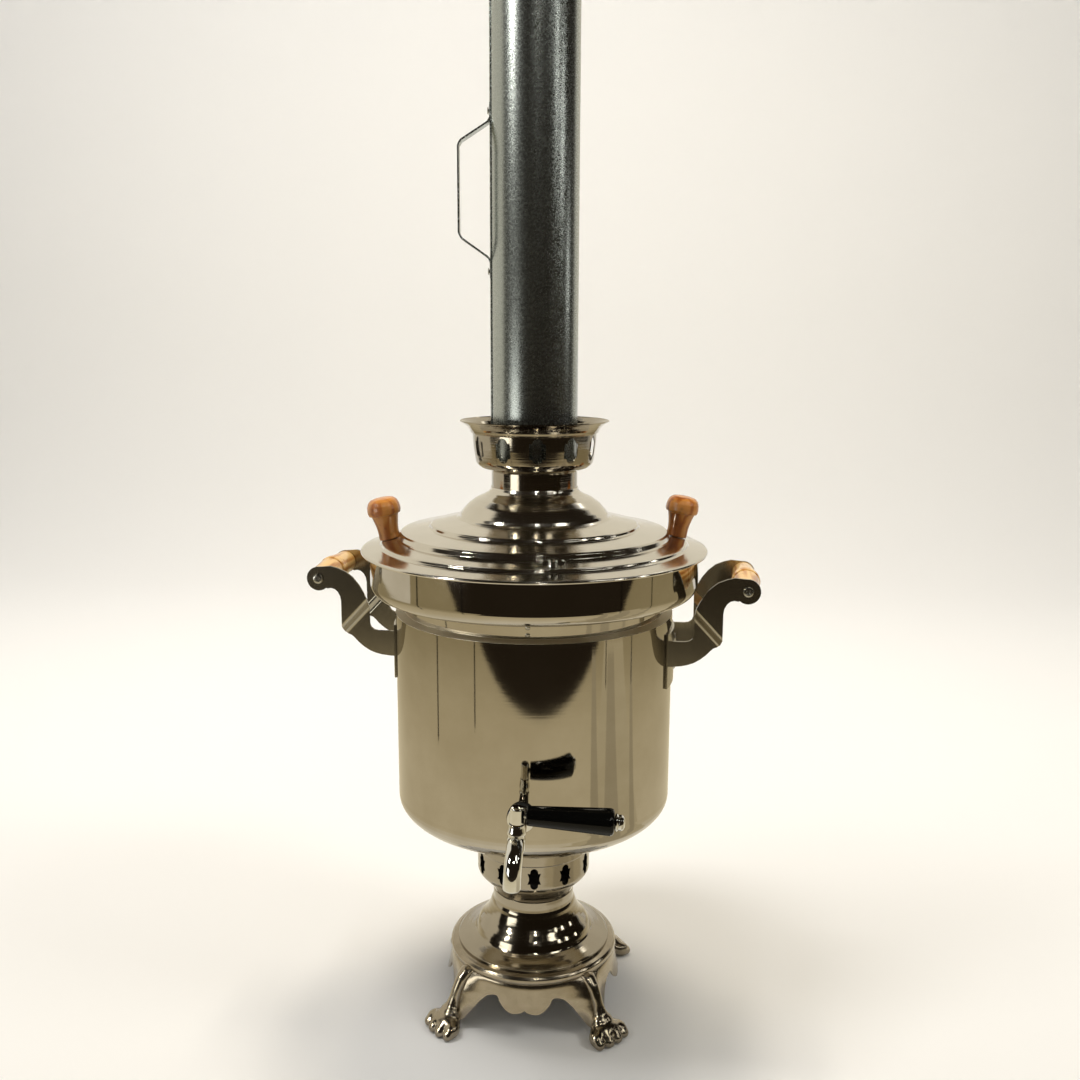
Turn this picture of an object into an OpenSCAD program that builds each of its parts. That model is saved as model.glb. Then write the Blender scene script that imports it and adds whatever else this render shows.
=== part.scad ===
// Wood-fired samovar with a chimney pipe, in millimetres.
// +Z is up, the tap points along -Y, and the feet stand on z = 0.

/* [Body] */
// Outer diameter of the water vessel
body_d = 240; // [232:1:248]
// Sheet thickness of the spun and pressed shells
sheet_t = 1.0; // [0.8:0.1:1.2]
// Turn of the base about the upright axis, from square with the tap, in degrees
foot_turn = -1; // [-8:0.5:8]
// Air holes round the throat
throat_holes = 11; // [8:1:12]
// Slots across the grate
grate_slots = 7; // [3:2:9]

/* [Crown and chimney] */
// Holes round the crown
crown_holes = 11; // [8:1:12]
// Height of the chimney's top above the floor
pipe_top_z = 1005; // [900:5:1300]
// Wall of the chimney pipe
pipe_t = 0.7; // [0.5:0.1:0.8]
// Width of the chimney's strip handle
strip_w = 12; // [10:1:16]

/* [Handles and knobs] */
// Turn of the two side handles about the upright axis, in degrees
handle_turn = -3; // [-8:0.5:8]
// Thickness of the handle brackets
bracket_t = 2; // [1.5:0.1:2.5]
// Length of the turned grips, from plate to plate
grip_len = 74.8; // [74:0.1:75]
// Height of the lid's wooden knobs
knob_h = 36; // [35:1:38]
// Turn of the two lid knobs about the upright axis, in degrees
knob_turn = 8; // [-12:1:12]

/* [Tap] */
// Distance from the vessel's wall to the tap's upright axis
tap_reach = 43; // [40:1:48]
// Height of the tap's barrel above the floor
tap_z = 224; // [220:1:232]
// Length of the black lever grip
lever_len = 65.5; // [50:0.5:70]
// Roll of the whole tap about its barrel, in degrees
tap_roll = 2.5; // [0:0.5:4]

/* [Hidden] */
$fn = 96;
t = sheet_t;
body_r = body_d / 2;
tap_r = body_r + tap_reach;

// Heights of the joints between the stacked shells
seat_z = 57.5;
neck_z = 104;
bottom_z = 172;
wall_z = 204;
collar_z = 382;
lid_z = 419.6;
tube_top_z = 486;
pipe_z = 488.25;

// Radii of the neck and the collar follow the body; the neck widens by its flare up to the collar
neck_r = body_r - 8;
neck_flare = 1.9;
collar_r = body_r + 21;
rim_r = body_r + 27.2;
rim_bead = 1.3;

// Spout bend
bend_r = 21.5;
spout_r = 6.6;
lip_r = 6.7;
spout_bore = 4.5;
lip_len = 6.2;

// The upright axis stands off the origin, which is under the middle of the whole outline
axis_y = (tap_r + bend_r + lip_r - rim_r - rim_bead) / 2;

// Terrace of the lid that carries the knobs and the steam vent
terrace_in = [body_r - 3.2, 428.6];
terrace_out = [body_r + 11, 425.2];
terrace_lean = atan((terrace_in[1] - terrace_out[1]) / (terrace_out[0] - terrace_in[0]));
terrace_mid = (terrace_in + terrace_out) / 2;
vent_turn = -79;
knob_tilt = 3;

// Turns of the pipe's lock seam and of its strip handle about the upright axis
seam_at = 191.5;
strip_at = 184.3;

// Handle bracket: inner face of the lower strap, joggle depth and screw centre
strap_y = 31.5;
joggle = 6;
plate_y = strap_y + joggle;
screw_x = body_r + 61;
screw_z = 393;
web_half = 16.2;

// Azimuth of the two small rivets in the neck below the collar
neck_rivet_at = -87.9;

// Unit direction at point i of a path, turned a quarter turn to its left
function left_of(p, i) =
    let (a = p[max(i - 1, 0)], b = p[min(i + 1, len(p) - 1)], d = (b - a) / norm(b - a))
    [-d[1], d[0]];

// Closed outline of a wall of thickness w on the left of path p
function wall(p, w) = concat(p, [for (i = [len(p) - 1 : -1 : 0]) p[i] + w * left_of(p, i)]);

// Points of an elliptical arc about c
function arc(c, rx, rz, a0, a1, n) =
    [for (i = [0 : n]) let (a = a0 + (a1 - a0) * i / n) c + [rx * cos(a), rz * sin(a)]];

// Points moved outward with the body
function out(p) = [for (q = p) q + [body_r - 120, 0]];

module on_axis() {
    translate([0, axis_y, 0]) children();
}

module spin(p) {
    rotate_extrude() polygon(p);
}

module ring(r1, r2, z1, z2) {
    rotate_extrude() translate([r1, z1]) square([r2 - r1, z2 - z1]);
}

// A flat outline in tangent and height, pushed outward from radius r1 to r2 at angle a
module radial_cut(a, r1, r2) {
    rotate([0, 0, a]) translate([r1, 0, 0]) rotate([90, 0, 90]) linear_extrude(r2 - r1) children();
}

// Plan outline of a paw: one pad and four toes, pointing along +X
module paw_plan() {
    translate([99, 0]) circle(10.5);
    for (k = [-1.5, -0.5, 0.5, 1.5])
        translate([104.5 - 1.4 * abs(k), 0]) rotate(14 * k) translate([3.5, 5.2 * k]) circle(4.4);
}

// Side outline of a leg and its paw in radius and height
leg_side = [[70, 50], [70, 40], [76, 36.5], [82, 30.5], [85.5, 22], [87.5, 10], [88.5, 0], [114, 0],
    [113.2, 6], [110, 10.5], [105, 15], [100.5, 21], [97, 28], [92.5, 35], [87, 42], [80.5, 48], [76, 51]];

// Front outline of a leg in tangent and height
leg_front = [[-24, 52], [-23, 46], [-18.5, 43.5], [-13, 37], [-8.6, 30], [-7.4, 24], [-9.5, 17],
    [-13.5, 9], [-16, 0], [16, 0], [13.5, 9], [9.5, 17], [7.4, 24], [8.6, 30], [13, 37], [18.5, 43.5],
    [23, 46], [24, 52]];

module leg() {
    intersection() {
        translate([0, 30, 0]) rotate([90, 0, 0]) linear_extrude(60) polygon(leg_side);
        translate([60, 0, 0]) rotate([90, 0, 90]) linear_extrude(60) polygon(leg_front);
        union() {
            linear_extrude(26) paw_plan();
            translate([60, -30, 16]) cube([60, 60, 40]);
        }
    }
}

// Two round lobes of one apron panel
module lobes() {
    translate([-9, 36.5]) circle(12.5);
    translate([9, 36.5]) circle(12.5);
    translate([-22, 38]) square([44, 12]);
}

// Front outline of the sheet that joins a leg to the apron on both sides
module web_front() {
    polygon([[-33, 50], [-33, 38], [-27.7, 34.6], [-24.9, 32.2], [-19.8, 27], [-14, 18.4], [-9.3, 10.5],
        [-5.7, 6.5], [0, 5], [5.7, 6.5], [9.3, 10.5], [14, 18.4], [19.8, 27], [24.9, 32.2], [27.7, 34.6],
        [33, 38], [33, 50]]);
}

module base_stand() {
    hem = [[76, 36], [74.9, 41], [73.9, 44.5], [72.6, 47], [71.6, 50]];
    apron = concat([[79, 23], [77.4, 30]], hem);
    web = [[90, 6], [87, 14], [84, 22], [81, 29], [78.5, 34], [76.2, 38.5], [74.2, 42.5]];
    color("silver") on_axis() rotate([0, 0, foot_turn]) {
        ring(60, 70, seat_z - 1.5, seat_z);
        rotate_extrude() translate([70, 52]) circle(5.5);
        spin(wall(hem, 1.5));
        for (k = [0 : 3]) {
            rotate([0, 0, 90 * k]) intersection() {
                spin(wall(apron, 1.5));
                radial_cut(0, 60, 100) lobes();
            }
            rotate([0, 0, 45 + 90 * k]) {
                leg();
                intersection() {
                    spin(wall(web, 1.5));
                    radial_cut(0, 60, 100) web_front();
                }
            }
        }
    }
}

module pedestal() {
    bell = [[68.6, seat_z], [68.6, 59.3], [66.8, 60.2], [64.2, 60.8], [62, 61.4], [57, 63.2],
        [53.6, 64.8], [52.6, 66], [51.6, 68.5], [50.4, 71.2], [48.4, 74.2], [44.6, 78.4], [42, 82.2],
        [40.2, 86], [38.8, 89.5], [38, 92.2], [37.4, 93.6], [36.8, 94.8], [36.4, 97], [36.4, neck_z]];
    color("gainsboro") on_axis() {
        spin(wall(bell, t));
        ring(30, 36.2, neck_z - t, neck_z);
    }
}

// Outline of one throat hole: an upright oval with two pairs of side points
module throat_hole() {
    translate([0, 4.6]) circle(4.9);
    translate([0, -4.6]) circle(4.9);
    translate([-3, -4.6]) square([6, 9.2]);
    polygon([[-5.8, 5.2], [0, 6.8], [5.8, 5.2], [4.4, 0], [5.8, -5.2], [0, -6.8], [-5.8, -5.2], [-4.4, 0]]);
}

module throat_ring() {
    throat = [[36.4, neck_z], [36.4, neck_z + t], [37.6, 108], [39.6, 111.5], [42.6, 115], [46.6, 118.6],
        [49.8, 122.3], [50.6, 125], [50.6, 144.6], [51.6, 145.8], [51.6, bottom_z]];
    color("silver") on_axis() difference() {
        union() {
            spin(wall(throat, t));
            ring(30, 36.2, neck_z, neck_z + t);
        }
        for (k = [0 : throat_holes - 1])
            radial_cut(-84.7 + k * 360 / throat_holes, 40, 60) translate([0, 134.8]) throat_hole();
    }
}

module vessel_bottom() {
    dish = concat([[46.05, bottom_z]], arc([body_r - 60, wall_z - 2], 60, wall_z - 2 - bottom_z, -90, 0, 10),
        [[body_r, wall_z]]);
    color("lightgray") on_axis() spin(wall(dish, t));
}

// Frame on the flared neck below the collar, at height z, with +Z square to its wall
module on_neck(z) {
    rotate([0, 0, neck_rivet_at]) translate([neck_r + neck_flare * (z - 366) / 15, 0, z])
        rotate([0, 90 + atan(neck_flare / 15), 0]) children();
}

module vessel_wall() {
    side = concat([[body_r, wall_z], [body_r, 340]], arc([body_r - 2.6, 362.4], 2.6, 2.6, 0, 90, 4),
        [[neck_r + 1.2, 365.1], [neck_r, 366], [neck_r + neck_flare, 381],
        [neck_r + neck_flare, collar_z]]);
    color("lightgray") on_axis() difference() {
        spin(wall(side, t));
        translate([0, -body_r + 8, tap_z]) rotate([90, 0, 0]) cylinder(r = 6.1, h = 16);
        for (s = [0, 180])
            for (z = [318, 342])
                rotate([0, 0, s + handle_turn]) translate([body_r - 8, 0, z]) rotate([0, 90, 0])
                    cylinder(r = 2.05, h = 16);
        for (z = [376, 369.8])
            on_neck(z) translate([0, 0, -3]) cylinder(r = 1.05, h = 6);
    }
}

module collar_ring() {
    band = concat([[neck_r - 1, collar_z], [neck_r + 10, collar_z]],
        arc([collar_r - 8, collar_z + 10], 8, 10, -90, 0, 8), [[collar_r, 400], [collar_r, lid_z]]);
    color("silver") on_axis() spin(wall(band, t));
}

module fire_tube() {
    tube = [[46, 168], [46, 300], [34.4, 380], [34.4, tube_top_z]];
    color("dimgray") on_axis() {
        spin(wall(tube, 1.2));
        ring(40.5, 45.4, 168, 169.5);
    }
}

module grate() {
    color("darkslategray") on_axis() difference() {
        translate([0, 0, 169.5]) cylinder(r = 44.5, h = 3);
        for (k = [0 : grate_slots - 1]) {
            x = (k - (grate_slots - 1) / 2) * 72 / grate_slots;
            half = sqrt(39 * 39 - x * x) - 3;
            translate([x - 2.5, -half, 165]) cube([5, 2 * half, 12]);
        }
    }
}

module on_terrace(a) {
    rotate([0, 0, a]) translate([terrace_mid[0], 0, terrace_mid[1]]) rotate([0, terrace_lean, 0])
        children();
}

// Frame of the steam vent, near the terrace's outer edge
module at_vent() {
    on_axis() on_terrace(vent_turn) translate([2, 0, 0]) children();
}

// Frame of a knob, a little more upright than the terrace that it stands on
module at_knob(s) {
    on_axis() on_terrace(s + knob_turn) rotate([0, -knob_tilt, 0]) children();
}

module lid() {
    cover = concat(out([[147.2, 419.3], [145, 420.1], [132.6, 422.3], [131.2, 423.1]]),
        [terrace_out, terrace_in],
        out([[116.1, 429.4], [115.3, 432.9], [114.4, 433.9], [90.1, 437.1], [89.4, 437.9], [88.9, 439.6],
            [88.2, 440.4]]),
        [[66.2, 445.2], [64.4, 446.4], [63.4, 448.7], [61.2, 451.8], [56.3, 457.2], [49.5, 461.9],
            [43, 464.6], [39.7, 466.8], [37.9, 469.2], [37.3, 471.2]]);
    color("gainsboro") on_axis() difference() {
        union() {
            spin(wall(cover, t));
            rotate_extrude() translate([rim_r, 418.4]) circle(rim_bead);
            ring(collar_r - 2.6, collar_r - 1.6, 409, 420.6);
        }
        for (s = [0, 180])
            on_terrace(s + knob_turn) translate([0, 0, -4]) cylinder(r = 2.3, h = 8);
        on_terrace(vent_turn) translate([2, 0, -4]) cylinder(r = 3.05, h = 8);
    }
}

module knob(s) {
    profile = [[0, -1], [8.4, -1], [8.9, 1.4], [8.8, 4], [8.9, 8], [9.4, 12], [10.3, 16], [11.3, 19.6],
        [11.9, 20.8], [13.4, 21.4], [14.1, 23.2], [14.2, 26], [13.7, 29.4], [12.2, knob_h - 3.2],
        [9.6, knob_h - 1.1], [5.5, knob_h - 0.2], [0, knob_h + 0.1]];
    color("peru") difference() {
        at_knob(s) spin(profile);
        at_knob(s) translate([0, 0, -3]) cylinder(r = 2, h = 20);
        on_axis() on_terrace(s + knob_turn) translate([-20, -20, -10]) cube([40, 40, 10.35]);
    }
}

module knob_screw(s) {
    color("silver") at_knob(s) difference() {
        union() {
            translate([0, 0, -3.8]) cylinder(r = 4, h = 2.4);
            translate([0, 0, -1.5]) cylinder(r = 1.95, h = 17);
        }
        translate([-2.5, -0.5, -4.2]) cube([5, 1, 1.4]);
        translate([-0.5, -2.5, -4.2]) cube([1, 5, 1.4]);
    }
}

module vent_post() {
    color("silver") at_vent() difference() {
        union() {
            translate([0, 0, -3]) cylinder(r = 3, h = 6.6);
            translate([0, 0, -3]) cylinder(r = 4.4, h = 1.8);
        }
        translate([0, 0, -4]) cylinder(r = 1.8, h = 7);
        translate([0, 0, 1.9]) rotate([0, 90, 0]) cylinder(r = 0.9, h = 8);
    }
}

module vent_cap() {
    color("silver") at_vent() difference() {
        union() {
            translate([0, 0, 0.5]) cylinder(r = 4.2, h = 4.5);
            translate([-0.9, -7.1, 0.7]) cube([1.8, 14.2, 4.8]);
            for (s = [-1, 1])
                translate([-0.9, s * 7.1, 3.1]) rotate([0, 90, 0]) cylinder(r = 2.4, h = 1.8);
        }
        cylinder(r = 3.05, h = 3.7);
        translate([0, 0, 1.9]) rotate([0, 90, 0]) cylinder(r = 0.9, h = 8);
    }
}

// Outline of one crown hole: a panel with narrower round ends
module crown_hole() {
    translate([-6.6, -6]) square([13.2, 12]);
    for (s = [-1, 1]) {
        translate([0, s * 6.4]) circle(4.2);
        translate([-5.2, s * 6 - 1.2]) square([10.4, 2.4]);
    }
}

module crown() {
    bowl = [[35.8, 462], [35.8, 485.2], [36.6, 486.6], [41, 487.6], [45.6, 489.2], [48.2, 491.6],
        [49.2, 494.5], [49.8, 498], [51, 505], [51.6, 513.5], [51.9, 516], [53.2, 517.3], [53.8, 519],
        [55, 521.2], [57.2, 523.4], [60, 525.4], [62.3, 526.9]];
    color("silver") on_axis() difference() {
        union() {
            spin(wall(bowl, 0.8));
            ring(61.2, 62.9, 526.6, 528);
            ring(33.2, 37.4, tube_top_z, pipe_z - 0.05);
            ring(36.75, 37.4, tube_top_z, 495);
        }
        for (k = [0 : crown_holes - 1])
            radial_cut(-82.7 + k * 360 / crown_holes, 42, 60) translate([0, 505.4]) crown_hole();
    }
}

module chimney_pipe() {
    color("lightsteelblue") on_axis() difference() {
        union() {
            ring(36.3 - pipe_t, 36.3, pipe_z, pipe_top_z);
            rotate([0, 0, seam_at]) translate([36, -3.2, 498]) cube([1.2, 6.4, pipe_top_z - 498]);
        }
        for (z = [776, 650])
            rotate([0, 0, strip_at]) translate([33, 0, z]) rotate([0, 90, 0]) cylinder(r = 1.65, h = 8);
    }
}

module pipe_handle() {
    strip = [[37.9, 782], [37.9, 769.5], [39.2, 767], [62, 752.5], [64, 749.5], [64, 680], [62.2, 676.6],
        [39.2, 661], [37.9, 658.5], [37.9, 644]];
    color("slategray") on_axis() rotate([0, 0, strip_at]) difference() {
        translate([0, strip_w / 2, 0]) rotate([90, 0, 0]) linear_extrude(strip_w)
            polygon(wall([for (i = [len(strip) - 1 : -1 : 0]) strip[i]], 1.5));
        for (z = [776, 650])
            translate([30, 0, z]) rotate([0, 90, 0]) cylinder(r = 1.65, h = 12);
        rotate([0, 0, seam_at - strip_at]) translate([35, -3.3, 600]) cube([2.25, 6.6, 220]);
    }
}

module pipe_rivet(z) {
    color("silver") on_axis() rotate([0, 0, strip_at]) {
        translate([37.95, 0, z]) rotate([0, 90, 0]) cylinder(r = 3, h = 1.2);
        translate([35.65, 0, z]) rotate([0, 90, 0]) cylinder(r = 1.6, h = 3);
    }
}

// Frame on the tap's own upright axis, at the height of its barrel, rolled about that barrel
module at_tap() {
    on_axis() translate([0, -tap_r, tap_z]) rotate([0, tap_roll, 0]) children();
}

module bend(r) {
    translate([0, 0, -bend_r]) rotate([90, 0, -90]) rotate_extrude(angle = 90) translate([bend_r, 0])
        circle(r);
}

module tap_body() {
    housing = [[0, -10], [4, -10], [6.4, -8.6], [7, -6], [7, 2.6], [6.4, 4.4], [6.2, 6.6], [0, 6.6]];
    color("white") at_tap() difference() {
        union() {
            rotate([-90, 0, 0]) cylinder(r = 6, h = tap_reach + 12);
            translate([0, tap_reach - 5.5, 0]) rotate([-90, 0, 0]) cylinder(r = 11, h = 3);
            spin(housing);
            bend(spout_r);
            translate([0, -bend_r, -bend_r - lip_len]) cylinder(r = lip_r, h = lip_len + 0.6);
        }
        translate([0, 3, 0]) rotate([-90, 0, 0]) cylinder(r = 3.5, h = tap_reach + 12);
        translate([0, 0, -8]) cylinder(r = 5.05, h = 20);
        bend(spout_bore);
        translate([0, -bend_r, -bend_r - lip_len - 1]) cylinder(r = spout_bore, h = lip_len + 1.6);
    }
}

module tap_gasket() {
    color("black") on_axis() difference() {
        translate([0, -tap_r, tap_z]) translate([0, tap_reach - 2.5, 0]) rotate([-90, 0, 0])
            cylinder(r = 11.5, h = 3.4);
        translate([0, 0, tap_z - 20]) cylinder(r = body_r + 0.03, h = 40, $fn = 720);
        translate([0, -tap_r, tap_z]) rotate([-90, 0, 0]) cylinder(r = 6.05, h = tap_reach + 12);
    }
}

module tap_washer() {
    color("lightgray") at_tap() translate([0, tap_reach + 1.6, 0]) rotate([-90, 0, 0]) difference() {
        cylinder(r = 9.5, h = 1.2);
        translate([0, 0, -1]) cylinder(r = 6.05, h = 4);
    }
}

module tap_locknut() {
    color("goldenrod") at_tap() translate([0, tap_reach + 2.8, 0]) rotate([-90, 0, 0]) difference() {
        cylinder(r = 10, h = 5, $fn = 6);
        translate([0, 0, -1]) cylinder(r = 6.05, h = 8);
    }
}

module tap_bonnet() {
    cap = [[3.56, 6.6], [7.2, 6.6], [7.4, 7.4], [7.2, 8.6], [6.7, 10.6], [6.2, 12.6], [5.9, 14.4],
        [3.56, 14.4]];
    color("white") at_tap() difference() {
        spin(cap);
        translate([0, 0, 7.8]) cylinder(r = 5.4, h = 2.1);
    }
}

module tap_oring() {
    color("black") at_tap() rotate_extrude() translate([4.48, 8.85]) circle(0.9);
}

module tap_plug() {
    color("goldenrod") at_tap() difference() {
        union() {
            translate([0, 0, -7.8]) cylinder(r = 5, h = 14.2);
            cylinder(r = 3.5, h = 24.6);
        }
        translate([-8, 0, 0]) rotate([0, 90, 0]) cylinder(r = 3.2, h = 16);
    }
}

// Frame on the lever's own axis, 21.3 mm above the barrel, with the lever along +X
module on_lever() {
    at_tap() translate([0, 0, 21.3]) children();
}

module tap_hub() {
    dome = [[0, 26.7], [5.4, 26.7], [5, 27.3], [3.6, 27.9], [1.8, 28.2], [0, 28.3]];
    color("white") difference() {
        at_tap() union() {
            translate([0, 0, 15]) cylinder(r = 5.8, h = 11.8, $fn = 10);
            spin(dome);
        }
        at_tap() cylinder(r = 3.55, h = 24.7);
        on_lever() rotate([0, 90, 0]) cylinder(r = 2.5, h = 12);
    }
}

module tap_rod() {
    color("silver") on_lever() translate([3.9, 0, 0]) rotate([0, 90, 0])
        cylinder(r = 2.45, h = lever_len + 8);
}

module tap_grip() {
    profile = [[2.5, 6.9], [6.9, 6.9], [7.3, 7.6], [8.1, 22], [10.1, lever_len + 2], [10.1, lever_len + 4],
        [9.2, lever_len + 6], [7.4, lever_len + 6.9], [2.5, lever_len + 6.9]];
    color("black") on_lever() rotate([0, 90, 0]) spin(profile);
}

module tap_acorn() {
    profile = [[0, 0], [4.6, 0], [6.4, 0.7], [6.7, 1.6], [5.9, 2.4], [5.5, 2.9], [5.9, 3.6], [5.9, 5],
        [5, 6.6], [3, 7.6], [0, 8]];
    color("white") on_lever() translate([lever_len + 6.95, 0, 0]) rotate([0, 90, 0]) difference() {
        spin(profile);
        translate([0, 0, -1]) cylinder(r = 2.5, h = 6);
    }
}

// Side outline of a bracket arm in distance outward and height
arm = concat(out([[110, 325.4], [121, 325.6], [128.8, 326.5], [134, 327.8], [139, 329.7], [144, 332.9],
    [148.7, 336.8], [152.2, 340.6], [154.6, 342.8], [157.5, 343.8], [160, 346], [161.5, 350.7],
    [161.5, 374], [162.2, 378.2], [164.2, 382], [167, 384.4], [170.2, 385.2], [173.4, 384.6]]),
    arc([screw_x, screw_z], 10.2, 10.4, -132, 96, 16),
    out([[170, 404.2], [164, 402.7], [156.5, 399.6], [150.5, 394.6], [145.5, 388.3], [141.6, 381.6],
        [139.2, 376.4], [138.5, 372], [138.5, 353.5], [137.3, 350.4], [134.5, 348.3], [131, 347.6],
        [110, 347.6]]));

// Plate with one joggle, seen along its fold: lower level at 0, upper level outward by the joggle
module joggled_plate() {
    fold_turn = 47;
    b = bracket_t;
    translate([body_r + 28, 0, 355]) rotate([0, fold_turn, 0]) translate([-100, 0, 0])
        rotate([90, 0, 90]) linear_extrude(200)
        polygon([[0, -90], [0, 0], [joggle, 9], [joggle, 90], [joggle + b, 90], [joggle + b, 8.4],
            [b, -0.6], [b, -90]]);
}

// One arm with its inner face at y = strap_y, then y = plate_y past the fold
module bracket_arm() {
    intersection() {
        translate([0, 60, 0]) rotate([90, 0, 0]) linear_extrude(60) polygon(arm);
        translate([0, strap_y, 0]) joggled_plate();
    }
}

module side_frame(s) {
    on_axis() rotate([0, 0, s + handle_turn]) children();
}

module bracket(s) {
    color("darkgray") side_frame(s) difference() {
        union() {
            rotate([0, 0, -web_half]) rotate_extrude(angle = 2 * web_half)
                translate([body_r + 0.05, 306]) square([bracket_t, 47]);
            bracket_arm();
            mirror([0, 1, 0]) bracket_arm();
        }
        translate([0, 0, 300]) cylinder(r = body_r + 0.05, h = 60);
        translate([screw_x, -60, screw_z]) rotate([-90, 0, 0]) cylinder(r = 2.2, h = 120);
        for (z = [318, 342])
            translate([body_r - 4, 0, z]) rotate([0, 90, 0]) cylinder(r = 2.05, h = 12);
    }
}

module bracket_rivet(s, z) {
    color("silver") side_frame(s) {
        translate([body_r - t - 1.6, 0, z]) rotate([0, 90, 0]) cylinder(r = 4, h = 1.5);
        translate([body_r - t - 1, 0, z]) rotate([0, 90, 0]) cylinder(r = 2, h = bracket_t + t + 1.6);
        translate([body_r + bracket_t + 0.15, 0, z]) rotate([0, 90, 0]) cylinder(r = 4, h = 1.4);
    }
}

module grip(s) {
    half = [[0, 12.2], [2.6, 12.2], [3.6, 11.6], [4.2, 10.6], [5, 10.4], [5.6, 11.2], [8, 11.4], [14, 11],
        [24, 10.3], [33, 9.9], [grip_len / 2 - 0.8, 9.8], [grip_len / 2, 9.2]];
    outline = concat([for (i = [len(half) - 1 : -1 : 1]) [half[i][1], -half[i][0]]],
        [for (q = half) [q[1], q[0]]]);
    color("burlywood") side_frame(s) translate([screw_x, 0, screw_z]) rotate([-90, 0, 0]) difference() {
        spin(concat([[0, -grip_len / 2]], outline, [[0, grip_len / 2]]));
        for (m = [0, 1])
            mirror([0, 0, m]) translate([0, 0, grip_len / 2 - 21]) cylinder(r = 2, h = 30);
    }
}

// Pan-head screw through one bracket plate, on the front side for f = -1
module grip_screw(s, f) {
    color("silver") side_frame(s) translate([screw_x, 0, screw_z]) rotate([90 * -f, 0, 0])
        difference() {
        union() {
            translate([0, 0, plate_y + bracket_t]) cylinder(r = 4.3, h = 1.6);
            translate([0, 0, plate_y + bracket_t + 1.6]) cylinder(r1 = 4.3, r2 = 3.2, h = 0.9);
            translate([0, 0, plate_y - 20]) cylinder(r = 1.95, h = 20 + bracket_t + 0.5);
        }
        translate([-2.4, -0.5, plate_y + bracket_t + 1]) cube([4.8, 1, 3]);
        translate([-0.5, -2.4, plate_y + bracket_t + 1]) cube([1, 4.8, 3]);
    }
}

module neck_rivet(z) {
    color("silver") on_axis() on_neck(z) {
        translate([0, 0, 0.05]) cylinder(r = 1.9, h = 0.8);
        translate([0, 0, -1.8]) cylinder(r = 1, h = 2);
        translate([0, 0, -2.2]) cylinder(r = 1.6, h = 1.1);
    }
}

module knob_left() { knob(180); }
module knob_right() { knob(0); }
module knob_screw_left() { knob_screw(180); }
module knob_screw_right() { knob_screw(0); }
module pipe_rivet_top() { pipe_rivet(776); }
module pipe_rivet_bottom() { pipe_rivet(650); }
module bracket_left() { bracket(180); }
module bracket_right() { bracket(0); }
module rivet_left_upper() { bracket_rivet(180, 342); }
module rivet_left_lower() { bracket_rivet(180, 318); }
module rivet_right_upper() { bracket_rivet(0, 342); }
module rivet_right_lower() { bracket_rivet(0, 318); }
module grip_left() { grip(180); }
module grip_right() { grip(0); }
module grip_screw_left_front() { grip_screw(180, 1); }
module grip_screw_left_rear() { grip_screw(180, -1); }
module grip_screw_right_front() { grip_screw(0, -1); }
module grip_screw_right_rear() { grip_screw(0, 1); }
module neck_rivet_upper() { neck_rivet(376); }
module neck_rivet_lower() { neck_rivet(369.8); }

base_stand();
pedestal();
throat_ring();
vessel_bottom();
vessel_wall();
collar_ring();
fire_tube();
grate();
lid();
knob_left();
knob_right();
knob_screw_left();
knob_screw_right();
vent_post();
vent_cap();
crown();
chimney_pipe();
pipe_handle();
pipe_rivet_top();
pipe_rivet_bottom();
tap_body();
tap_gasket();
tap_washer();
tap_locknut();
tap_bonnet();
tap_oring();
tap_plug();
tap_hub();
tap_rod();
tap_grip();
tap_acorn();
bracket_left();
bracket_right();
rivet_left_upper();
rivet_left_lower();
rivet_right_upper();
rivet_right_lower();
grip_left();
grip_right();
grip_screw_left_front();
grip_screw_left_rear();
grip_screw_right_front();
grip_screw_right_rear();
neck_rivet_upper();
neck_rivet_lower();
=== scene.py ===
"""A wood-fired samovar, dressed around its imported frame.

Pieces are made in millimetres about the vessel's upright axis, then set into the frame in metres.
"""

from math import atan, atan2, cos, degrees, exp, pi, radians, sin, tan

import bmesh
import bpy
from mathutils import Euler, Matrix, Vector


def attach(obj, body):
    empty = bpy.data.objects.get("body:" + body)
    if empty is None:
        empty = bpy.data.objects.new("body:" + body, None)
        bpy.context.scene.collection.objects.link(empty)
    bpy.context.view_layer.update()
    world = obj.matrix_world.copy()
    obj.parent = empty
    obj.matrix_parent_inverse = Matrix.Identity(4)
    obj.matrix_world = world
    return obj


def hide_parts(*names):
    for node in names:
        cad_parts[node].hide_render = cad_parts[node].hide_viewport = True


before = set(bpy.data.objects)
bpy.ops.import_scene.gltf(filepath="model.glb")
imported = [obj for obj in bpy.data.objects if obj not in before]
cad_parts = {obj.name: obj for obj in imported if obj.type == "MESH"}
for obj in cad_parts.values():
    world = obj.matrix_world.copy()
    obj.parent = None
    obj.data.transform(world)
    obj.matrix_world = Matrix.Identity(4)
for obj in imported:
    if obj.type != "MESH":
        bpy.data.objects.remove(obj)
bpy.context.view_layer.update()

# Main sizes, in millimetres, as the part's source has them
AXIS_Y = 21.35
BODY_R = 120.0
TAP_OUT = 163.0
TAP_Z = 224.0
LEVER_Z = 245.3
TAP_ROLL = radians(2.5)
FOOT_TURN = radians(-1)
KNOB_TURN = radians(8)
KNOB_TILT = radians(3)
HANDLE_TURN = radians(-3)
SEAM_AT = radians(191.5)
STRIP_AT = radians(184.3)
VENT_AT = radians(-79)
NECK_RIVET_AT = radians(-87.9)
NECK_R = 112.05
NECK_Z = 366
NECK_FLARE = 1.9 / 15
TERRACE_R = 123.9
TERRACE_Z = 426.9
TERRACE_LEAN = atan((428.6 - 425.2) / (131 - 116.8))
FULL_TURN = 2 * pi
ROUND = 160
SMOOTH_BELOW = radians(38)

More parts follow.
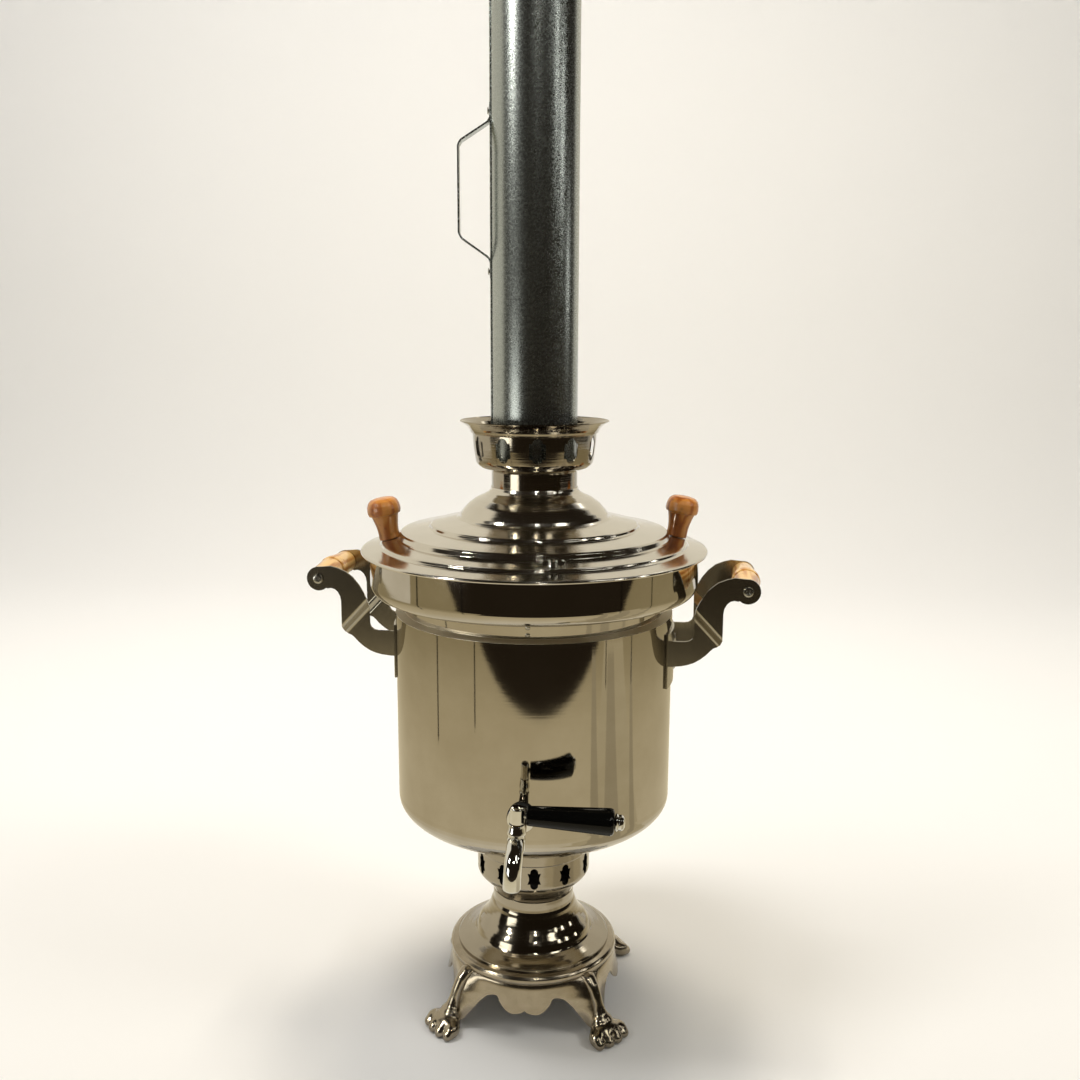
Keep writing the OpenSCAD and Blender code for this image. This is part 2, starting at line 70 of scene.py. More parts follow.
# Turns that lay an upright shape along +X, or along +Y
LIE_OUT = Matrix.Rotation(pi / 2, 4, "Y")
ALONG_BACK = Matrix.Rotation(-pi / 2, 4, "X")

# Carries a flat shape in XY to the plane of YZ, with its thickness along +X
ON_EDGE = Matrix(((0, 0, 1, 0), (1, 0, 0, 0), (0, 1, 0, 0), (0, 0, 0, 1)))


# Shapes


def turn_z(angle):
    return Matrix.Rotation(angle, 4, "Z")


def place(x=0.0, y=0.0, z=0.0):
    return Matrix.Translation((x, y, z))


def face_outward(bm):
    bmesh.ops.recalc_face_normals(bm, faces=bm.faces[:])


def moved(bm, matrix):
    bmesh.ops.transform(bm, matrix=matrix, verts=bm.verts[:])


def verts_of(found):
    return [g for g in found if isinstance(g, bmesh.types.BMVert)]


def edges_of(found):
    return [g for g in found if isinstance(g, bmesh.types.BMEdge)]


def loop_of(bm, points):
    """A closed loop of edges through points."""
    spots = [bm.verts.new(p) for p in points]
    return [bm.edges.new(pair) for pair in zip(spots, spots[1:] + spots[:1])]


def pushed_loop(bm, loop):
    """Extrudes edges in place, and gives the vertices and edges of the new end."""
    pushed = bmesh.ops.extrude_edge_only(bm, edges=loop)["geom"]
    verts = verts_of(pushed)
    return verts, [e for e in edges_of(pushed) if all(v in verts for v in e.verts)]


def ribbon(points, across):
    """A flat or curved sheet: a line through points, pushed out by a vector."""
    bm = bmesh.new()
    spots = [bm.verts.new(p) for p in points]
    lines = [bm.edges.new(pair) for pair in zip(spots, spots[1:])]
    end, _ = pushed_loop(bm, lines)
    bmesh.ops.translate(bm, vec=across, verts=end)
    face_outward(bm)
    return bm


def bevelled(bm, offset, sharper_than, segments=2):
    """Rounds the edges of a bmesh that are sharper than an angle in degrees."""
    sharp = [e for e in bm.edges if e.calc_face_angle(0) > radians(sharper_than)]
    bmesh.ops.bevel(bm, geom=sharp, offset=offset, segments=segments, profile=0.5, affect="EDGES",
                    material=-1, clamp_overlap=True)


def sliced(bm, point, normal, **more):
    """Cuts a bmesh through with a plane."""
    everything = bm.verts[:] + bm.edges[:] + bm.faces[:]
    return bmesh.ops.bisect_plane(bm, geom=everything, plane_co=point, plane_no=normal, dist=1e-4, **more)


# A rounded corner's largest share of a stretch, and the share of its own size that its ends run on straight
CORNER_SHARE = 0.45
HOLD_SHARE = 0.08


def eased(points, radius=1.0, steps=4):
    """A path of (r, z) points with its corners rounded. A third number sets one corner's own radius."""
    spots = [Vector(p[:2]) for p in points]
    path = [spots[0]]
    for before, at, after, told in zip(spots, spots[1:], spots[2:], points[1:]):
        into, away = at - before, after - at
        turn = into.angle(away, 0)
        reach = (told[2] if len(told) > 2 else radius) * tan(turn / 2)
        reach = min(reach, CORNER_SHARE * into.length, CORNER_SHARE * away.length)
        if turn < 0.02 or reach < 0.01:
            path.append(at)
            continue
        start, end = at - into.normalized() * reach, at + away.normalized() * reach
        path.append(start - into.normalized() * HOLD_SHARE * reach)
        for k in range(steps + 1):
            s = k / steps
            path.append((1 - s) ** 2 * start + 2 * s * (1 - s) * at + s * s * end)
        path.append(end + away.normalized() * HOLD_SHARE * reach)
    return path + [spots[-1]]


def between(keys, at):
    """The value at a place among (place, value) keys, in straight steps."""
    for (low, low_value), (high, high_value) in zip(keys, keys[1:]):
        if at <= high:
            return low_value + (high_value - low_value) * max(0.0, at - low) / (high - low)
    return keys[-1][1]


def rim(start, end, away, thickness):
    """Points that round the edge of a sheet, from one of its faces to the other."""
    bulge = away.normalized() * abs(thickness) * 0.4
    return [start.lerp(end, share) + bulge * out for share, out in ((0.18, 0.8), (0.5, 1.0), (0.82, 0.8))]


def sheet_edge(path, thickness):
    """The closed outline of a sheet with its outside on path, its metal on the left and round rims."""
    inner = []
    for k, at in enumerate(path):
        along = (path[min(k + 1, len(path) - 1)] - path[max(k - 1, 0)]).normalized()
        inner.append(at + thickness * Vector((-along.y, along.x)))
    top = rim(path[-1], inner[-1], path[-1] - path[-2], thickness)
    bottom = rim(inner[0], path[0], path[0] - path[1], thickness)
    return path + top + inner[::-1] + bottom


def spun(path, closed=False, steps=ROUND, angle=FULL_TURN):
    """A path of (r, z) points spun about the upright axis."""
    bm = bmesh.new()
    spots = [bm.verts.new((p[0], 0, p[1])) for p in path]
    lines = [bm.edges.new(pair) for pair in zip(spots, spots[1:])]
    if closed:
        lines.append(bm.edges.new((spots[-1], spots[0])))
    whole = abs(angle - FULL_TURN) < 1e-6
    bmesh.ops.spin(bm, geom=spots + lines, cent=(0, 0, 0), axis=(0, 0, 1), angle=angle, steps=steps,
                   use_merge=whole, use_duplicate=False)
    bmesh.ops.remove_doubles(bm, verts=bm.verts[:], dist=1e-4)
    face_outward(bm)
    return bm


def shell(points, thickness=1.0, radius=1.0, steps=ROUND):
    """A spun sheet with its metal on the left of the path."""
    return spun(sheet_edge(eased(points, radius), thickness), closed=True, steps=steps)


def solid(points, radius, steps=64):
    """A solid of revolution from a path that starts and ends on the axis, or closes on itself."""
    return spun(eased(points, radius), steps=steps)


def mesh_of(bm, name):
    """Turns a bmesh into a mesh, and lets the bmesh go."""
    mesh = bpy.data.meshes.new(name)
    bm.to_mesh(mesh)
    bm.free()
    return mesh


def in_scene(name, data):
    """A new object of the scene."""
    made = bpy.data.objects.new(name, data)
    bpy.context.scene.collection.objects.link(made)
    return made


def joined(*parts):
    """Several bmeshes, each with an optional matrix, as one."""
    whole = bmesh.new()
    for part in parts:
        bm, matrix = part if isinstance(part, tuple) else (part, None)
        if matrix is not None:
            moved(bm, matrix)
            if matrix.determinant() < 0:
                bmesh.ops.reverse_faces(bm, faces=bm.faces[:])
        carried = mesh_of(bm, "carried")
        whole.from_mesh(carried)
        bpy.data.meshes.remove(carried)
    return whole


def plate(outline, thickness, bevel, segments=2):
    """A flat outline in XY pushed up by thickness, with its edges rounded."""
    bm = bmesh.new()
    face = bm.faces.new([bm.verts.new((p[0], p[1], 0)) for p in outline])
    pushed = bmesh.ops.extrude_face_region(bm, geom=[face])["geom"]
    bmesh.ops.translate(bm, vec=(0, 0, thickness), verts=verts_of(pushed))
    face_outward(bm)
    bevelled(bm, bevel, 50, segments)
    return bm


def strip(path, width, thickness, bevel):
    """A flat strap that follows a path in XZ and runs along Y for its width."""
    bm = ribbon([(p[0], -width / 2, p[1]) for p in path], (0, width, 0))
    bmesh.ops.solidify(bm, geom=bm.faces[:], thickness=thickness)
    face_outward(bm)
    bevelled(bm, bevel, 60)
    return bm


def arc(centre, rx, rz, start, end, count):
    """Points of an elliptical arc, angles in degrees."""
    turns = [radians(start + (end - start) * k / count) for k in range(count + 1)]
    return [(centre[0] + rx * cos(a), centre[1] + rz * sin(a)) for a in turns]


def finished(bm, name, body, material, stands_for, smooth=SMOOTH_BELOW):
    """Turns a bmesh in millimetres into a piece of the samovar, set into the frame.

    It rides on a body, and takes the place of the nodes that it stands for.
    """
    moved(bm, place(0, AXIS_Y / 1000, 0) @ Matrix.Scale(0.001, 4))
    mesh = mesh_of(bm, name)
    mesh.shade_smooth()
    mesh.set_sharp_from_angle(angle=smooth)
    mesh.materials.append(material)
    piece = in_scene(name, mesh)
    even = piece.modifiers.new("flat_faces_stay_flat", "WEIGHTED_NORMAL")
    even.keep_sharp = True
    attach(piece, body)
    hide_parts(*stands_for)
    return piece


# Finishes


def linear(code):
    """The linear colour of an sRGB hex code."""
    parts = [int(code[k:k + 2], 16) / 255 for k in (0, 2, 4)]
    return [c / 12.92 if c <= 0.04045 else ((c + 0.055) / 1.055) ** 2.4 for c in parts] + [1.0]


def add(tree, kind, sockets=None, **settings):
    """Adds a node, sets it up, and fills or links its sockets."""
    made = tree.nodes.new(kind)
    for name, value in settings.items():
        setattr(made, name, value)
    for name, value in (sockets or {}).items():
        if isinstance(value, bpy.types.NodeSocket):
            tree.links.new(value, made.inputs[name])
        else:
            made.inputs[name].default_value = value
    return made


def ramp(tree, value, *stops):
    """A colour ramp over value. A stop is a place and a colour, as an sRGB code or four linear numbers."""
    made = add(tree, "ShaderNodeValToRGB", {0: value})
    points = made.color_ramp.elements
    while len(points) < len(stops):
        points.new(0.5)
    for point, (at, colour) in zip(points, stops):
        point.position = at
        point.color = linear(colour) if isinstance(colour, str) else colour
    return made.outputs[0]


def empty_tree(owner):
    """The node tree of a material or a world, cleared."""
    owner.use_nodes = True
    owner.node_tree.nodes.clear()
    return owner.node_tree


def new_material(name, kind, sockets):
    """A material with one shader of a kind."""
    made = bpy.data.materials.new(name)
    tree = empty_tree(made)
    shader = add(tree, kind, sockets)
    add(tree, "ShaderNodeOutputMaterial", {"Surface": shader.outputs[0]})
    return made, tree, shader


def new_finish(name, **sockets):
    """A material for the samovar itself, whose sockets take plain values."""
    named = {k.replace("_", " "): v for k, v in sockets.items()}
    return new_material(name, "ShaderNodeBsdfPrincipled", named)


def grey(level):
    return [level, level, level, 1.0]


def noise(tree, at, scale, detail, roughness=0.5):
    """Soft tone between 0 and 1, whose spots are about 1 / scale across."""
    sockets = {"Vector": at, "Scale": scale, "Detail": detail, "Roughness": roughness}
    return add(tree, "ShaderNodeTexNoise", sockets).outputs["Fac"]


def scaled_sum(tree, value, factor, extra):
    """The value times factor, plus extra."""
    return add(tree, "ShaderNodeMath", {0: value, 1: factor, 2: extra}, operation="MULTIPLY_ADD").outputs[0]


def paint(tree, shader, socket, value):
    tree.links.new(value, shader.inputs[socket])


def dull_between(tree, shader, tone, low, high, **more):
    """Roughness that follows a tone, from low to high."""
    sockets = {"Value": tone, "To Min": low, "To Max": high, **more}
    paint(tree, shader, "Roughness", add(tree, "ShaderNodeMapRange", sockets).outputs[0])


def raised(tree, shader, tone, strength, distance):
    """Fine relief that follows a tone, distance being its height in metres."""
    bump = add(tree, "ShaderNodeBump", {"Height": tone, "Strength": strength, "Distance": distance})
    paint(tree, shader, "Normal", bump.outputs[0])


def in_mm(tree):
    """Places in millimetres, from the vessel's axis at the floor."""
    spot = add(tree, "ShaderNodeTexCoord").outputs["Object"]
    moves = {"Vector": spot, "Location": (0, -AXIS_Y, 0), "Scale": (1000,) * 3}
    return add(tree, "ShaderNodeMapping", moves).outputs[0]


def round_the_axis(tree, mm):
    """Distance from the vessel's axis and height, as a vector of two parts."""
    flat = add(tree, "ShaderNodeVectorMath", {0: mm, 1: (1, 1, 0)}, operation="MULTIPLY")
    far = add(tree, "ShaderNodeVectorMath", {0: flat.outputs[0]}, operation="LENGTH")
    parts = add(tree, "ShaderNodeSeparateXYZ", {0: mm})
    both = {"X": far.outputs["Value"], "Z": parts.outputs["Z"]}
    return add(tree, "ShaderNodeCombineXYZ", both).outputs[0]


def spun_steel(name, base, roughness, line_mm, depth):
    """Stainless sheet, spun on a lathe and polished: a warm grey mirror with fine rings left by the mop.

    The real rings are about 0.1 mm apart, drawn at line_mm so that they show.
    """
    made, tree, shader = new_finish(name, Metallic=1.0)
    mm = in_mm(tree)
    rings = round_the_axis(tree, mm)
    fine = noise(tree, rings, 1 / line_mm, 2.0, 0.7)
    broad = noise(tree, rings, 0.09, 3.0, 0.6)
    smear = noise(tree, mm, 0.022, 4.0, 0.55)
    paint(tree, shader, "Base Color", ramp(tree, smear, (0.35, base[0]), (0.7, base[1])))
    spread = scaled_sum(tree, fine, 0.03, roughness - 0.03)
    paint(tree, shader, "Roughness", scaled_sum(tree, smear, 0.03, spread))
    raised(tree, shader, scaled_sum(tree, broad, 3.0, fine), 0.5, depth)
    return made


def brushed_plate(name):
    """Plain stainless plate from the rolling mill: satin, with short fine scratches along it."""
    made, tree, shader = new_finish(name, Metallic=1.0)
    mm = in_mm(tree)
    drawn = add(tree, "ShaderNodeMapping", {"Vector": mm, "Scale": (1.0, 1.0, 0.08)})
    hairs = noise(tree, drawn.outputs[0], 2.5, 3.0, 0.7)
    paint(tree, shader, "Base Color", ramp(tree, hairs, (0.3, "A39D8E"), (0.75, "B4AE9F")))
    dull_between(tree, shader, hairs, 0.15, 0.24)
    raised(tree, shader, hairs, 0.4, 0.00003)
    return made


def cast_steel(name):
    """Nickel-bright pressed and polished feet: a mirror that is uneven from hand polishing."""
    made, tree, shader = new_finish(name, Metallic=1.0)
    mm = in_mm(tree)
    smear = noise(tree, mm, 0.05, 4.0, 0.6)
    paint(tree, shader, "Base Color", ramp(tree, smear, (0.35, "998F7D"), (0.7, "ABA190")))
    dull_between(tree, shader, smear, 0.14, 0.26)
    raised(tree, shader, noise(tree, mm, 0.1, 2.0), 0.5, 0.0003)
    return made


def galvanised_sheet(name):
    """Hot-dip galvanised sheet: cool grey zinc with small soft spangles, 1 to 4 mm across."""
    made, tree, shader = new_finish(name, Metallic=1.0)
    mm = in_mm(tree)
    spangle = add(tree, "ShaderNodeTexVoronoi", {"Vector": mm, "Scale": 0.6}, feature="F1")
    grain = noise(tree, mm, 1.3, 4.0, 0.75)
    mixed = scaled_sum(tree, spangle.outputs["Distance"], 0.3, grain)
    tint = ramp(tree, mixed, (0.45, "959B9A"), (0.7, "ABB1AF"), (0.95, "C1C6C2"))
    paint(tree, shader, "Base Color", tint)
    dull_between(tree, shader, mixed, 0.2, 0.32, **{"From Min": 0.4, "From Max": 0.95})
    raised(tree, shader, mixed, 0.3, 0.00012)
    return made


def bright_plate(name, colour, roughness):
    """Plating over a polished casting: a clean mirror with slight waves, and a few fine wipe marks."""
    made, tree, shader = new_finish(name, Metallic=1.0, Base_Color=linear(colour))
    mm = in_mm(tree)
    wipes = noise(tree, mm, 0.6, 4.0, 0.6)
    dull_between(tree, shader, wipes, roughness * 0.6, roughness * 1.5)
    raised(tree, shader, noise(tree, mm, 0.25, 1.0), 0.4, 0.0003)
    return made


def lacquered_wood(name, tones, centre, tilt, grain_mm, knots):
    """Turned beech or birch under clear lacquer: long grain along the spindle, with small darker flecks.

    The year rings run round centre, which lies off the spindle's axis.
    """
    made, tree, shader = new_finish(name, Coat_Weight=0.7, Coat_Roughness=0.08, Roughness=0.38)
    spot = add(tree, "ShaderNodeTexCoord").outputs["Object"]
    away = (-centre.x, -centre.y - AXIS_Y, -centre.z)
    own = add(tree, "ShaderNodeMapping", {"Vector": spot, "Location": away, "Scale": (1000,) * 3})
    turned = add(tree, "ShaderNodeMapping", {"Vector": own.outputs[0], "Rotation": tilt})
    stretched = add(tree, "ShaderNodeMapping", {"Vector": turned.outputs[0], "Scale": (1.0, 1.0, 0.12)})
    grain = stretched.outputs[0]
    warp = noise(tree, grain, 0.35 / grain_mm, 3.0)
    years = {"Vector": grain, "Scale": 0.16 / grain_mm, "Distortion": 6.0, "Detail": 3.0,
             "Detail Scale": 1.5}
    rings = add(tree, "ShaderNodeTexWave", years, wave_type="RINGS", rings_direction="X")
    fibre = noise(tree, grain, 2.2 / grain_mm, 4.0, 0.7)
    figure = scaled_sum(tree, fibre, 0.35, scaled_sum(tree, rings.outputs["Fac"], 0.45, warp))
    tone = ramp(tree, figure, *zip((0.5, 0.78, 1.0), tones))
    specks = {"Vector": turned.outputs[0], "Scale": 0.16, "Randomness": 1.0}
    flecks = add(tree, "ShaderNodeTexVoronoi", specks, feature="F1")
    mark = ramp(tree, flecks.outputs["Distance"], (0.05, grey(knots)), (0.3, grey(1.0)))
    layers = {"Factor": 1.0, "A": tone, "B": mark}
    colour = add(tree, "ShaderNodeMix", layers, data_type="RGBA", blend_type="MULTIPLY")
    paint(tree, shader, "Base Color", colour.outputs[2])
    raised(tree, shader, figure, 0.25, 0.00015)
    return made


def gloss_black(name):
    """Moulded phenolic: near black, with a wet gloss and faint handling marks."""
    made, tree, shader = new_finish(name, Base_Color=linear("080807"), Specular_IOR_Level=0.2)
    mm = in_mm(tree)
    dull_between(tree, shader, noise(tree, mm, 0.25, 5.0, 0.65), 0.06, 0.16)
    return made


def matt_surface(name, scale, detail, uneven, dark, pale, relief=0.0, **sockets):
    """A matt surface, clouded between two tones, each a place on the noise and a colour."""
    made, tree, shader = new_finish(name, **sockets)
    mm = in_mm(tree)
    clouds = noise(tree, mm, scale, detail, uneven)
    paint(tree, shader, "Base Color", ramp(tree, clouds, dark, pale))
    if relief:
        raised(tree, shader, clouds, 0.8, relief)
    return made


def dressed(piece, material, chosen):
    """Gives some faces another finish, chosen by height in millimetres and how far they face outward."""
    piece.data.materials.append(material)
    for face in piece.data.polygons:
        outward = Vector((face.center.x, face.center.y - AXIS_Y / 1000, 0)).normalized()
        if chosen(face.center.z * 1000, face.normal.dot(outward)):
            face.material_index = 1


def towards_axis(height, outward):
    """Chooses the inside of a shell, at any height."""
    return outward < -0.01


STEEL = spun_steel("polished_stainless", ("B3AC9E", "BDB7AB"), 0.055, 0.8, 0.000012)
LID_STEEL = spun_steel("spun_stainless_lid", ("D2CDC3", "DAD5CB"), 0.14, 0.7, 0.00006)
# A satin band for the shoulder ledge: its colour, lighter than the body's, is painted sheen standing in for
# the bright band that the ledge reflects
SHOULDER_SHEEN_STEEL = spun_steel("shoulder_painted_sheen", ("DAD3C4", "E2DCCE"), 0.5, 0.8, 0.00002)
BELL_STEEL = spun_steel("spun_stainless_bell", ("A1998A", "ABA394"), 0.11, 1.4, 0.0001)
BRACKET_STEEL = brushed_plate("brushed_bracket_steel")
FEET_STEEL = cast_steel("polished_feet")
FLUE_STEEL = spun_steel("heat_tinted_flue", ("5C5048", "7A6A58"), 0.35, 1.2, 0.0002)
ZINC = galvanised_sheet("galvanised_sheet")
CHROME = bright_plate("chrome_plate", "DEDEDB", 0.05)
SCREW_ZINC = bright_plate("bright_zinc", "B9B8B4", 0.2)
BRASS = bright_plate("machined_brass", "C09A52", 0.25)
BLACK = gloss_black("gloss_phenolic")

# The inside of the stand is matt and near black, the iron is a rough casting, and the rubber has a dusty
# bloom
DARK_INSIDE = matt_surface("dark_inner_sheet", 0.2, 5.0, 0.65, (0.35, "0D0B09"), (0.75, "241D16"), Roughness=0.85)
IRON = matt_surface("cast_iron", 0.8, 6.0, 0.7, (0.35, "2A2724"), (0.75, "57504A"), 0.0004,
                    Metallic=0.7, Roughness=0.72)
RUBBER = matt_surface("nitrile_rubber", 0.5, 4.0, 0.5, (0.3, "161616"), (0.8, "2B2A29"), Roughness=0.75)


# Base

STAND_SHEET = 1.4
APRON_TOP = 50.5
LEG_R = 82

seat_ring = shell([
    (60.4, 57.4), (67, 57.4), (70.4, 57.3), (73.6, 56.2), (75.3, 53.8), (75.4, 51), (74.2, 48.6),
    (72, 47), (69.6, 46.6),
], -STAND_SHEET, 2.2)
finished(seat_ring, "base_ring", "vessel", FEET_STEEL, ["base_stand"])

# The apron's outside in height and distance from the axis
APRON = [(4, 83), (24, 78.8), (30, 77.4), (36, 76.3), (41, 75.4), (45, 74.7), (47.5, 73.9), (50.5, 72)]

# The apron's hem, in degrees from the middle of a side and height: two lobes, a notch, an arch, and a leg
HEM = [
    (0, 27.2), (1.5, 25.8), (4, 24.6), (7.6, 24), (9.8, 24.6), (12.4, 26.4), (15.2, 29.8), (17.2, 33.2),
    (17.7, 35.6), (19.4, 36.8), (21.8, 36.6), (25.6, 34.6), (27.6, 32.2), (31.2, 27), (35.2, 18.4),
    (38.5, 10.5), (41, 6.5), (45, 5),
]

# How far a leg's web stands out from the apron, and how wide it spreads, both by height
WEB_OUT = [
    (4, 14.5), (8, 13.5), (12, 12.5), (18.5, 11), (26, 9.3), (33.5, 8), (41, 5.6), (46, 3), (50.5, 1),
]
WEB_WIDE = [(4, 8.5), (12, 10.5), (21, 12.5), (33, 14), (50.5, 13)]


def apron_spot(turn, down):
    """A point of the apron: turn is its angle from the middle of a side, and down runs from 0 to 1."""
    height = APRON_TOP + (between(HEM, abs(degrees(turn))) - APRON_TOP) * down
    from_leg = (pi / 4 - abs(turn)) * LEG_R
    swell = between(WEB_OUT, height) * exp(-(from_leg / between(WEB_WIDE, height)) ** 2)
    return between(APRON, height) + swell, height


sides = []
for quarter in range(4):
    bm = bmesh.new()
    made = bmesh.ops.create_grid(bm, x_segments=180, y_segments=20, size=0.5)
    for vert in made["verts"]:
        turn = vert.co.x * pi / 2
        reach, height = apron_spot(turn, 0.5 - vert.co.y)
        at = turn + (quarter - 1) * pi / 2 + FOOT_TURN
        vert.co = Vector((reach * cos(at), reach * sin(at), height))
    sides.append(bm)
apron = joined(*sides)
bmesh.ops.remove_doubles(apron, verts=apron.verts[:], dist=1e-3)
face_outward(apron)
bmesh.ops.solidify(apron, geom=apron.faces[:], thickness=STAND_SHEET)
face_outward(apron)
finished(apron, "base_apron", "vessel", FEET_STEEL, ["base_stand"])


def lofted(rings, steps=20):
    """A closed tube through oval rings. A ring is a centre, the tube's direction, and two half sizes."""
    bm = bmesh.new()
    loops = []
    for centre, along, wide, deep in rings:
        along = Vector(along).normalized()
        across = Vector((0, 1, 0))
        up = along.cross(across).normalized()
        turns = [FULL_TURN * k / steps for k in range(steps)]
        middle = Vector(centre)
        loops.append(loop_of(bm, [middle + across * wide * cos(a) + up * deep * sin(a) for a in turns]))
    for lower, upper in zip(loops, loops[1:]):
        bmesh.ops.bridge_loops(bm, edges=lower + upper)
    for end in (loops[0], loops[-1]):
        bmesh.ops.edgeloop_fill(bm, edges=end)
    face_outward(bm)
    return bm


def blob(centre, size, lean=(0, 0, 0)):
    """A rounded lump, as a stretched and turned sphere."""
    bm = bmesh.new()
    bmesh.ops.create_uvsphere(bm, u_segments=20, v_segments=12, radius=1.0)
    grow = Matrix.Diagonal((*size, 1.0))
    moved(bm, place(*centre) @ Euler(lean).to_matrix().to_4x4() @ grow)
    return bm


def claw_leg():
    """One leg with its paw, pointing along +X from the axis, before its lumps are merged."""
    shaft = lofted([
        ((70.5, 0, 49.5), (1, 0, -0.4), 8, 4),
        ((76, 0, 47), (1, 0, -0.8), 6.6, 5),
        ((81.6, 0, 41.5), (0.7, 0, -1), 5.6, 5),
        ((86, 0, 33.5), (0.5, 0, -1), 5.2, 5),
        ((89, 0, 26), (0.4, 0, -1), 5.2, 5.2),
        ((92.5, 0, 18.5), (0.5, 0, -1), 6.8, 6),
        ((96, 0, 12.5), (0.8, 0, -1), 9.5, 6.8),
        ((99, 0, 8), (1, 0, -0.8), 11, 5.6),
    ])
    palm = blob((98, 0, 8.6), (10.5, 15.4, 8.8))
    lumps = [shaft, palm, blob((94.5, 0, 15.5), (7.4, 10, 6.8), (0, 0.6, 0))]
    for k in (-1.5, -0.5, 0.5, 1.5):
        out = 106.4 - 1.5 * abs(k) ** 1.4
        spread = radians(13 * k)
        lumps.append(blob((out - 3, 8.6 * k, 6.8), (8, 6.2, 6.8), (0, 0.25, spread)))
        lumps.append(blob((out + 2.6, 9.2 * k, 4.4), (5, 5, 4.6), (0, 0.5, spread)))
    return joined(*lumps)


def merged_lumps(bm, name, voxel, smooth_rounds):
    """Melts overlapping lumps into one skin, and smooths it."""
    mesh = mesh_of(bm, name)
    carrier = in_scene(name, mesh)
    melt = carrier.modifiers.new("melt", "REMESH")
    melt.mode = "VOXEL"
    melt.voxel_size = voxel
    soften = carrier.modifiers.new("soften", "SMOOTH")
    soften.factor = 0.5
    soften.iterations = smooth_rounds
    graph = bpy.context.evaluated_depsgraph_get()
    skin = bpy.data.meshes.new_from_object(carrier.evaluated_get(graph))
    made = bmesh.new()
    made.from_mesh(skin)
    bpy.data.objects.remove(carrier)
    bpy.data.meshes.remove(mesh)
    bpy.data.meshes.remove(skin)
    face_outward(made)
    return made


SOLE_BELOW = 0.6
one_leg = merged_lumps(claw_leg(), "leg_skin", voxel=0.9, smooth_rounds=18)
for vert in one_leg.verts:
    if vert.co.z < SOLE_BELOW:
        vert.co.z = 0.0
leg_mesh = mesh_of(one_leg, "leg")
for where, at in (("right_rear", 45), ("left_rear", 135), ("left_front", 225), ("right_front", 315)):
    bm = bmesh.new()
    bm.from_mesh(leg_mesh)
    moved(bm, turn_z(radians(at) + FOOT_TURN))
    finished(bm, "leg_" + where, "vessel", FEET_STEEL, ["base_stand"], smooth=radians(60))
bpy.data.meshes.remove(leg_mesh)


# Pedestal, throat, vessel

bell = [
    (68.6, 57.6), (68.6, 59.3, 0.6), (66.8, 60.2, 0.8), (64.2, 60.8, 4), (62, 61.4, 6), (57, 63.2, 6),
    (53.6, 64.8, 1), (52.6, 66, 1), (51.6, 68.5, 2), (50.4, 71.2, 3), (48.4, 74.2, 8), (44.6, 78.4, 14),
    (42, 82.2, 14), (40.2, 86, 14), (38.8, 89.5, 14), (38, 92.2, 6), (37.4, 93.6, 1), (36.8, 94.8, 1),
    (36.4, 97, 1), (36.4, 103.95),
]
pedestal = finished(shell(bell, radius=3), "pedestal_bell", "vessel", BELL_STEEL, ["pedestal"])
dressed(pedestal, DARK_INSIDE, towards_axis)


# Cut-outs around the throat, and around the crown
HOLES = 11


def polar(keys, angle):
    """Radius at an angle from (angle, radius) keys in the first quarter, mirrored to the others."""
    folded = abs((degrees(angle) + 180) % 360 - 180)
    folded = min(folded, 180 - folded)
    return between(keys, folded)


def pierced(below, band, above, keys, centre_z, first, thickness, side_cells=14):
    """A spun sheet with a row of cut-outs: band is the stretch of path that carries them.

    Each cell of the band is a ring of faces between its cut-out, whose outline keys give, and its border.
    """
    top_cells, spokes = 24, 7
    around = HOLES * top_cells
    cells = []
    low, high = band[0][1], band[-1][1]
    by_height = [(z, r) for r, z in band]
    middle = between(by_height, centre_z)
    half = pi / HOLES
    border = [(-half + 2 * half * i / top_cells, low) for i in range(top_cells)]
    border += [(half, low + (high - low) * i / side_cells) for i in range(side_cells)]
    border += [(half - 2 * half * i / top_cells, high) for i in range(top_cells)]
    border += [(-half, high - (high - low) * i / side_cells) for i in range(side_cells)]
    for k in range(HOLES):
        at = first + k * FULL_TURN / HOLES
        bm = bmesh.new()
        loops = []
        for step in range(spokes + 1):
            share = (step / spokes) ** 1.25
            spots = []
            for turn, z in border:
                u, v = turn * middle, z - centre_z
                facing = atan2(v, u)
                cut = polar(keys, facing)
                inner = Vector((cut * cos(facing), cut * sin(facing)))
                spot = inner.lerp(Vector((u, v)), share)
                z_at = centre_z + spot.y
                reach = between(by_height, z_at)
                angle = at + spot.x / middle
                spots.append(bm.verts.new((reach * cos(angle), reach * sin(angle), z_at)))
            loops.append(spots)
        for inner, outer in zip(loops, loops[1:]):
            for corners in zip(inner, inner[1:] + inner[:1], outer[1:] + outer[:1], outer):
                bm.faces.new(corners)
        cells.append(bm)
    from_first = turn_z(first - half)
    whole = joined(*cells, (spun(below, steps=around), from_first), (spun(above, steps=around), from_first))
    bmesh.ops.remove_doubles(whole, verts=whole.verts[:], dist=0.02)
    face_outward(whole)
    bmesh.ops.solidify(whole, geom=whole.faces[:], thickness=thickness)
    face_outward(whole)
    return whole


